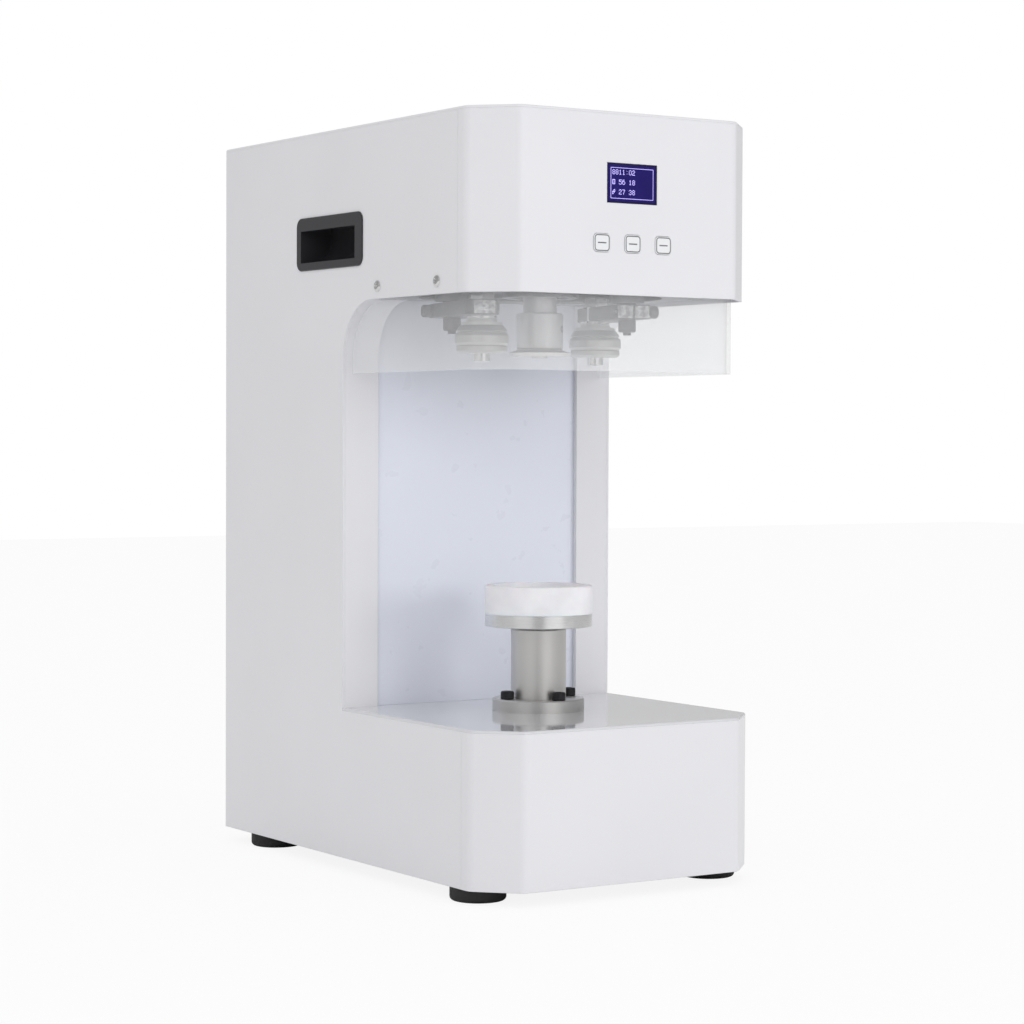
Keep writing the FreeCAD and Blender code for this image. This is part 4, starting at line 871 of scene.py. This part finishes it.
@dataclass
class Casing:
    """The sheet-metal casing, its rear screws, feet and handle cups."""

    rear_screw_inset: float = 12.0 * MM
    rear_screw: PanScrew = field(default_factory=lambda: PanScrew(head=7.0 * MM, head_length=1.6 * MM))
    guard_screw: PanScrew = field(default_factory=lambda: PanScrew(shank_length=17.8 * MM))
    nut_across: float = 7.4 * MM
    nut_height: float = 3.0 * MM
    guard_sheet: float = 3.0 * MM

    def build(self) -> None:
        """Dresses the walls and puts in the screws."""
        dress(WHITE_COAT, "left_side_panel", "right_side_panel", "throat_bands", "head_front_cover",
              "base_front_cover", "top_cover", "rear_cover")
        dress(DECK_COAT, "base_deck")
        # The bluish coat of the throat's back panel is painted reflection and shade.
        dress(THROAT_PAINTED_BLUE_LIGHT, "throat_back_panel")
        # The grey of the head's underside plate is painted shade.
        dress(GREY_PAINT_AND_PAINTED_SHADE, "head_underside_plate", "bottom_plate")
        dress(BLACK_RUBBER, "rubber_feet")
        dress(BLACK_PLASTIC, "handle_cup_left", "handle_cup_right")
        self.rear_screws()
        self.guard_screws()

    def rear_screws(self) -> None:
        """Screws round the edge of the rear cover."""
        low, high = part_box("rear_cover")
        inset = self.rear_screw_inset
        columns = (low.x + inset, high.x - inset)
        rows = [low.z + inset + (high.z - low.z - 2 * inset) * share for share in (0.0, 1 / 3, 2 / 3, 1.0)]
        backwards = Vector((0.0, 1.0, 0.0))
        screws = [placed(self.rear_screw.mesh(), facing(Vector((x, high.y, z)), backwards, 0.3 + 7 * x + 5 * z))
                  for x in columns for z in rows]
        piece("rear_cover_screws", joined(screws), BRIGHT_ZINC, "casing")

    def guard_screws(self) -> None:
        """Pan-head screws through the side walls, with the nuts inside the guard."""
        low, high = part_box("guard_screws")
        guard_low, guard_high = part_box("guard")
        head = self.guard_screw.head
        rows = (low.y + head / 2, high.y - head / 2)
        parts = []
        level = (low.z + high.z) / 2
        for side, start, inner in ((-1.0, low.x, guard_low.x), (1.0, high.x, guard_high.x)):
            outward = Vector((side, 0.0, 0.0))
            for row, y in enumerate(rows):
                seat = Vector((start - side * self.guard_screw.head_length, y, level))
                parts.append(placed(self.guard_screw.mesh(), facing(seat, outward, 0.4 + row)))
                nut = soften(slab(polygon(6, self.nut_across / math.sqrt(3)), 0.0, self.nut_height), 0.0003)
                back = Vector((inner - side * self.guard_sheet, y, level))
                parts.append(placed(nut, facing(back, -outward)))
        piece("guard_screw_set", joined(parts), BRIGHT_ZINC, "casing", replaces=["guard_screws"])


@dataclass
class ControlPanel:
    """The display with its lit face, and the three keys with their printed rings."""

    carrier_rim: float = 3.0 * MM
    border: float = 1.5 * MM
    frame_inset: float = 3.1 * MM
    frame_line: float = 0.35 * MM
    dot: float = 0.46 * MM
    film: float = 0.03 * MM
    key_corner: float = 3.0 * MM
    key_ring: float = 0.75 * MM
    key_round: float = 1.2 * MM
    ring_inset: float = 0.5 * MM
    key_mark: tuple[float, float] = (7.2 * MM, 0.9 * MM)
    rows: tuple[str, ...] = ("8811:02", "= 56 18", "/ 27 38")

    def build(self) -> None:
        """Dresses the board, display and keys."""
        dress(DISPLAY_BORDER, "display_module")
        dress(KEY_PLASTIC, "key_left", "key_middle", "key_right")
        dress(BOARD_LACQUER, "control_board")
        self.screen()
        for place in KeyPlace:
            self.key_print(place)

    def screen(self) -> None:
        """The lit field, its frame line and three rows of dotted figures."""
        low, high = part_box("display_module")
        rim = self.carrier_rim
        width, height = high.x - low.x - 2 * rim, high.z - low.z - 2 * rim
        middle = Vector(((low.x + high.x) / 2, low.y, (low.z + high.z) / 2))
        stand = facing_front(middle)
        field_outline = rounded_outline(width - 2 * self.border, height - 2 * self.border, 0.3 * MM, 3)
        piece("display_face", placed(slab(field_outline, 0.0, self.film), stand), DISPLAY_FIELD, "casing")
        outer = rounded_outline(width - 2 * self.frame_inset, height - 2 * self.frame_inset, 0.4 * MM, 3)
        shrink = 2 * (self.frame_inset + self.frame_line)
        inner = rounded_outline(width - shrink, height - shrink, 0.2 * MM, 3)
        piece("display_frame_line", placed(band(outer, inner, self.film, 2 * self.film), stand), DISPLAY_DOTS,
              "casing")
        piece("display_figures", placed(self.figures(width, height), stand), DISPLAY_DOTS, "casing")

    def figures(self, width: float, height: float) -> bmesh.types.BMesh:
        """Square dots for the rows of figures.

        Args:
            width: Width of the glass.
            height: Height of the glass.

        Returns:
            The dots, flat in the XY plane round the origin.
        """
        dots = []
        pitch = self.dot * 1.08
        left = -width / 2 + self.frame_inset + 1.6 * MM
        for row, text in enumerate(self.rows):
            top = height / 2 - self.frame_inset - 1.7 * MM - row * 6.9 * MM
            for column, letter in enumerate(text):
                for y, bits in enumerate(DOT_FIGURES[letter]):
                    for x, lit in enumerate(bits):
                        if lit == "#":
                            dots.append((left + (column * 6 + x) * pitch * 0.95, top - y * pitch))
        made = bmesh.new()
        half = self.dot / 2
        for x, y in dots:
            corners = [made.verts.new((x + sx * half, y + sy * half, 2 * self.film))
                       for sx, sy in ((-1, -1), (1, -1), (1, 1), (-1, 1))]
            made.faces.new(corners)
        return made

    def key_print(self, place: KeyPlace) -> None:
        """The printed ring and mark of one key.

        Args:
            place: Which key.
        """
        key = f"key_{place.value}"
        low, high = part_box(key)
        rim = self.key_round
        width, height = high.x - low.x - 2 * rim, high.z - low.z - 2 * rim
        middle = Vector(((low.x + high.x) / 2, low.y, (low.z + high.z) / 2))
        stand = facing_front(middle)
        inset = self.ring_inset
        outer = rounded_outline(width - 2 * inset, height - 2 * inset, self.key_corner - inset)
        ring = self.key_ring + inset
        inner = rounded_outline(width - 2 * ring, height - 2 * ring, self.key_corner - ring)
        ring_mesh = band(outer, inner, 0.0, self.film)
        mark = slab(rounded_outline(*self.key_mark, self.key_mark[1] * 0.4, 3), 0.0, self.film)
        piece(f"{key}_print", placed(joined([ring_mesh, mark]), stand), KEY_PRINT, key)


DOT_FIGURES = {
    "0": (" ### ", "#   #", "#   #", "#   #", "#   #", "#   #", " ### "),
    "1": ("  #  ", " ##  ", "  #  ", "  #  ", "  #  ", "  #  ", " ### "),
    "2": (" ### ", "#   #", "    #", "  ## ", " #   ", "#    ", "#####"),
    "3": (" ### ", "#   #", "    #", "  ## ", "    #", "#   #", " ### "),
    "5": ("#####", "#    ", "#### ", "    #", "    #", "#   #", " ### "),
    "6": (" ### ", "#    ", "#### ", "#   #", "#   #", "#   #", " ### "),
    "7": ("#####", "    #", "   # ", "   # ", "  #  ", "  #  ", "  #  "),
    "8": (" ### ", "#   #", "#   #", " ### ", "#   #", "#   #", " ### "),
    ":": ("     ", "  #  ", "     ", "     ", "     ", "  #  ", "     "),
    "=": ("#####", "#   #", "# # #", "#   #", "# # #", "#   #", "#####"),
    "/": ("   ##", "  # #", " #  #", "#####", "#  # ", "# #  ", "##   "),
    " ": ("     ",) * 7,
}


def facing_front(place: Vector) -> Matrix:
    """Stands a mesh drawn in the XY plane upright, its Z towards the front.

    Args:
        place: Where the mesh's origin goes.

    Returns:
        The matrix.
    """
    return Matrix.Translation(place) @ Matrix.Rotation(math.pi / 2, 4, "X")


@dataclass
class Guard:
    """The clear guard round the seaming head."""

    def build(self) -> None:
        """Dresses the guard."""
        dress(CLEAR_ACRYLIC, "guard")


@dataclass
class SeamingHead:
    """The two seaming arms with their rollers, shafts, screws, cams and motors."""

    arm_lean: float = math.radians(13.0)
    clamp_screw: SocketScrew = field(default_factory=lambda: SocketScrew(
        head=9.4 * MM, head_length=6.5 * MM, socket=5.0 * MM, shank=5.0 * MM, shank_length=20.5 * MM))

    def build(self) -> None:
        """Dresses both arms and fits their screws."""
        dress(PLATE_STEEL, "head_plate")
        for side in Side:
            dress(ARM_STEEL, f"roller_arm_{side.value}")
            dress(MILLED_STEEL, f"cam_lever_{side.value}")
            dress(CAM_STEEL, f"seam_cam_{side.value}")
            dress(BLACK_OXIDE, f"swing_shaft_{side.value}")
            dress(ROLLER_STEEL, f"seam_roller_{side.value}")
            dress(PIN_STEEL, f"roller_pin_{side.value}")
            dress(MOTOR_CASE, f"seam_gearmotor_{side.value}")
            self.clamp_screw_of(side)
        dress(SPRING_STEEL, "return_springs")

    def clamp_screw_of(self, side: Side) -> None:
        """The knurled screw that closes the split nose of one arm.

        Args:
            side: Which arm.
        """
        node = f"arm_clamp_screw_{side.value}"
        low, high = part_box(node)
        out = 1.0 if side is Side.RIGHT else -1.0
        across = Vector((out * math.cos(self.arm_lean), -out * math.sin(self.arm_lean), 0.0))
        reach = abs(high.x - low.x) / 2 - abs(math.sin(self.arm_lean)) * self.clamp_screw.shank / 2
        tip = (low + high) / 2 + across * reach / math.cos(self.arm_lean)
        seat = tip - across * self.clamp_screw.head_length
        piece(f"clamp_screw_{side.value}", placed(self.clamp_screw.mesh(), facing(seat, across)), BLACK_OXIDE,
              f"arm_{side.value}", replaces=[node])


@dataclass
class Spindle:
    """The spindle with its pulley, chuck holder, chuck and set screw."""

    set_screw: float = 5.0 * MM
    set_screw_turn: float = math.radians(-52.0)

    def build(self) -> None:
        """Dresses the spindle and fits the set screw."""
        dress(TURNED_STEEL, "spindle_shaft", "chuck_holder", "chuck")
        dress(MILLED_STEEL, "spindle_pulley", "spindle_housing", "motor_rotor")
        dress(BEARING_STEEL, "spindle_bearings")
        dress(BLACK_RUBBER, "drive_belt")
        dress(MOTOR_CASE, "main_motor")
        self.fit_set_screw()

    def fit_set_screw(self) -> None:
        """The small set screw in the side of the chuck holder."""
        low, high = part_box("chuck_holder")
        radius = (high.x - low.x) / 2
        outward = Vector((math.cos(self.set_screw_turn), math.sin(self.set_screw_turn), 0.0))
        middle = Vector(((low.x + high.x) / 2, (low.y + high.y) / 2, low.z + (high.z - low.z) * 0.56))
        ring = lathe([(self.set_screw / 2, -0.4 * MM), (self.set_screw / 2, 0.12 * MM),
                      (self.set_screw * 0.34, 0.12 * MM), (self.set_screw * 0.30, -0.3 * MM), (0.0, -0.3 * MM)], 24)
        stand = facing(middle + outward * radius, outward)
        piece("chuck_set_screw", placed(ring, stand), BLACK_OXIDE, "spindle")


@dataclass
class CanLift:
    """The pedestal with its screws, the lift rod and the turning tray."""

    screw: SocketScrew = field(default_factory=lambda: SocketScrew(shank_length=19.0 * MM))
    screw_circle: float = 54.5 * MM

    def build(self) -> None:
        """Dresses the lift and fits the pedestal's screws."""
        dress(TURNED_STEEL, "pedestal", "lift_rod")
        dress(TURNED_ALUMINIUM, "can_tray")
        dress(FROSTED_NYLON, "can_cup")
        dress(BEARING_STEEL, "tray_bearing")
        # The frames take the same grey coat that stands for shade on the head's underside.
        dress(GREY_PAINT_AND_PAINTED_SHADE, "lift_frame", "column_frame")
        dress(CAM_STEEL, "lift_cam")
        dress(MOTOR_CASE, "lift_gearmotor")
        self.flange_screws()

    def flange_screws(self) -> None:
        """The knurled screws of the pedestal's flange."""
        low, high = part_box("flange_screws")
        axis = (low + high) / 2
        seat = high.z - self.screw.head_length
        screws = []
        for step in range(4):
            angle = math.pi / 2 * step
            place = Vector((axis.x + self.screw_circle / 2 * math.cos(angle),
                            axis.y + self.screw_circle / 2 * math.sin(angle), seat))
            screws.append(placed(self.screw.mesh(), facing(place, Vector((0, 0, 1)), 0.3 * step)))
        piece("pedestal_screws", joined(screws), BLACK_OXIDE, "casing", replaces=["flange_screws"])


@dataclass
class PowerInlet:
    """The mains inlet with its pins, and the rocker."""

    def build(self) -> None:
        """Dresses the inlet and rocker."""
        dress(BLACK_PLASTIC, "power_inlet", "power_rocker")


# --------------------------------------------------------------------- studio

@dataclass
class Lamp:
    """A large soft lamp."""

    name: str
    place: tuple[float, float, float]
    target: tuple[float, float, float]
    size: tuple[float, float]
    watts: float

    def build(self) -> None:
        """Hangs the lamp and points it at its target."""
        data = bpy.data.lights.new(self.name, "AREA")
        data.shape = "RECTANGLE"
        data.size, data.size_y = self.size
        data.energy = self.watts
        obj = bpy.data.objects.new(self.name, data)
        bpy.context.scene.collection.objects.link(obj)
        obj.location = self.place
        obj.visible_glossy = False
        aim = Vector(self.target) - Vector(self.place)
        obj.rotation_euler = aim.to_track_quat("-Z", "Y").to_euler()
        LOG.info("lamp %s, %.1f W", self.name, self.watts)


@dataclass
class Studio:
    """The pale floor, the soft lamps, the sky and the camera."""

    camera_place: tuple[float, float, float] = (-1.1105, -1.7577, 0.3252)
    camera_yaw: float = math.radians(32.87)
    camera_pitch: float = math.radians(-1.633)
    camera_roll: float = 0.004
    lens: float = 95.8
    sky_strength: float = 0.80
    floor_size: float = 12.0
    floor_glow: float = 0.88
    flag_bearing: float = math.radians(-123.5)
    cloths: tuple[Point, ...] = (
        (-180.0, 0.60), (180.0, 0.60), (-90.0, 0.34), (-54.0, 0.42), (-49.0, 0.62), (-14.0, 0.60),
        (-10.0, 0.07),
        (12.0, 0.07), (15.0, 1.0), (53.0, 1.0), (57.0, 0.30), (130.0, 0.18))
    lamps: tuple[Lamp, ...] = (
        Lamp("key_lamp", (1.5, -2.5, 0.65), (0.0, 0.1, 0.3), (0.9, 0.9), 12.5),
        Lamp("fill_lamp", (-1.6, -2.2, 1.5), (0.0, 0.0, 0.3), (1.6, 1.6), 10.0),
    )

    def build(self) -> None:
        """Sets up everything round the machine."""
        self.view_settings()
        self.camera()
        self.sky()
        self.floor()
        for lamp in self.lamps:
            lamp.build()

    def view_settings(self) -> None:
        """Colours are shown as they are."""
        bpy.context.scene.view_settings.view_transform = "Standard"

    def camera(self) -> None:
        """The camera, level with the middle of the machine and to its left."""
        data = bpy.data.cameras.new("camera")
        data.lens = self.lens
        data.sensor_width = 36.0
        data.clip_end = 50.0
        obj = bpy.data.objects.new("camera", data)
        bpy.context.scene.collection.objects.link(obj)
        yaw, pitch, roll = self.camera_yaw, self.camera_pitch, self.camera_roll
        level = Vector((math.sin(yaw), math.cos(yaw), 0.0))
        side = Vector((math.cos(yaw), -math.sin(yaw), 0.0))
        up = Vector((0.0, 0.0, 1.0))
        forward = level * math.cos(pitch) + up * math.sin(pitch)
        upright = up * math.cos(pitch) - level * math.sin(pitch)
        right = side * math.cos(roll) + upright * math.sin(roll)
        top = upright * math.cos(roll) - side * math.sin(roll)
        turn = Matrix((right, top, -forward)).transposed().to_4x4()
        obj.matrix_world = Matrix.Translation(self.camera_place) @ turn
        bpy.context.scene.camera = obj

    def sky(self) -> None:
        """Even light from all round; metal mirrors flags and cloths, and glass shows white."""
        graph = Graph("studio", Owner.WORLD)
        bpy.context.scene.world = graph.owner
        light, mirrored, seen = (self.background(graph, strength) for strength in (self.sky_strength, 1.0, 1.0))
        graph.link(self.flags(graph), mirrored.inputs["Color"])
        glossy = graph.node("ShaderNodeLightPath").outputs["Is Glossy Ray"]
        lit = graph.overlaid(glossy, light, mirrored)
        graph.surface(graph.overlaid(graph.seen_or_shone_through(), lit, seen))

    @staticmethod
    def background(graph: Graph, strength: float) -> bpy.types.Node:
        """Adds a white background of a given strength."""
        made = graph.node("ShaderNodeBackground")
        made.inputs["Color"].default_value = (1.0, 1.0, 1.0, 1.0)
        made.inputs["Strength"].default_value = strength
        return made

    def flags(self, graph: Graph) -> Socket:
        """The dark flags and bright cloths that stand round the machine, as metal mirrors them.

        Args:
            graph: The tree of the sky.

        Returns:
            The brightness in each direction.
        """
        parts = graph.node("ShaderNodeSeparateXYZ")
        graph.link(graph.place, parts.inputs[0])
        bearing = graph.worked("ARCTAN2", parts.outputs["Y"], parts.outputs["X"])
        turned = graph.worked("SUBTRACT", bearing, self.flag_bearing)
        wrapped = graph.worked("WRAP", turned, math.pi, -math.pi)
        ramp = graph.node("ShaderNodeValToRGB")
        graph.link(graph.ranged(wrapped, 0.0, 1.0, -math.pi, math.pi), ramp.inputs["Fac"])
        stops = ramp.color_ramp.elements
        for number, (degrees, level) in enumerate(self.cloths):
            place = degrees / 360 + 0.5
            stop = stops[number] if number < len(stops) else stops.new(place)
            stop.position = place
            stop.color = (level, level, level, 1.0)
        return ramp.outputs["Color"]

    def floor(self) -> None:
        """A plain white floor that keeps a faint shadow."""
        half = self.floor_size / 2
        made = bmesh.new()
        made.faces.new([made.verts.new((x, y, 0.0)) for x, y in
                        ((-half, -half), (half, -half), (half, half), (-half, half))])
        mesh = bpy.data.meshes.new("floor")
        made.to_mesh(mesh)
        made.free()
        graph = Graph("floor_white")
        matt = graph.node("ShaderNodeBsdfDiffuse")
        matt.inputs["Color"].default_value = (0.9, 0.9, 0.9, 1.0)
        bright = graph.node("ShaderNodeEmission")
        share = graph.worked("MULTIPLY", graph.seen_or_shone_through(), self.floor_glow)
        graph.surface(graph.overlaid(share, matt, bright))
        mesh.materials.append(graph.owner)
        obj = bpy.data.objects.new("floor", mesh)
        bpy.context.scene.collection.objects.link(obj)


def main() -> None:
    """Builds the machine and the studio round it."""
    logging.basicConfig(level=logging.INFO, format="%(message)s")
    for part in (Studio(), Casing(), ControlPanel(), Guard(), SeamingHead(), Spindle(), CanLift(),
                 PowerInlet()):
        LOG.info("building %s", type(part).__name__)
        part.build()


if __name__ == "__main__":
    main()
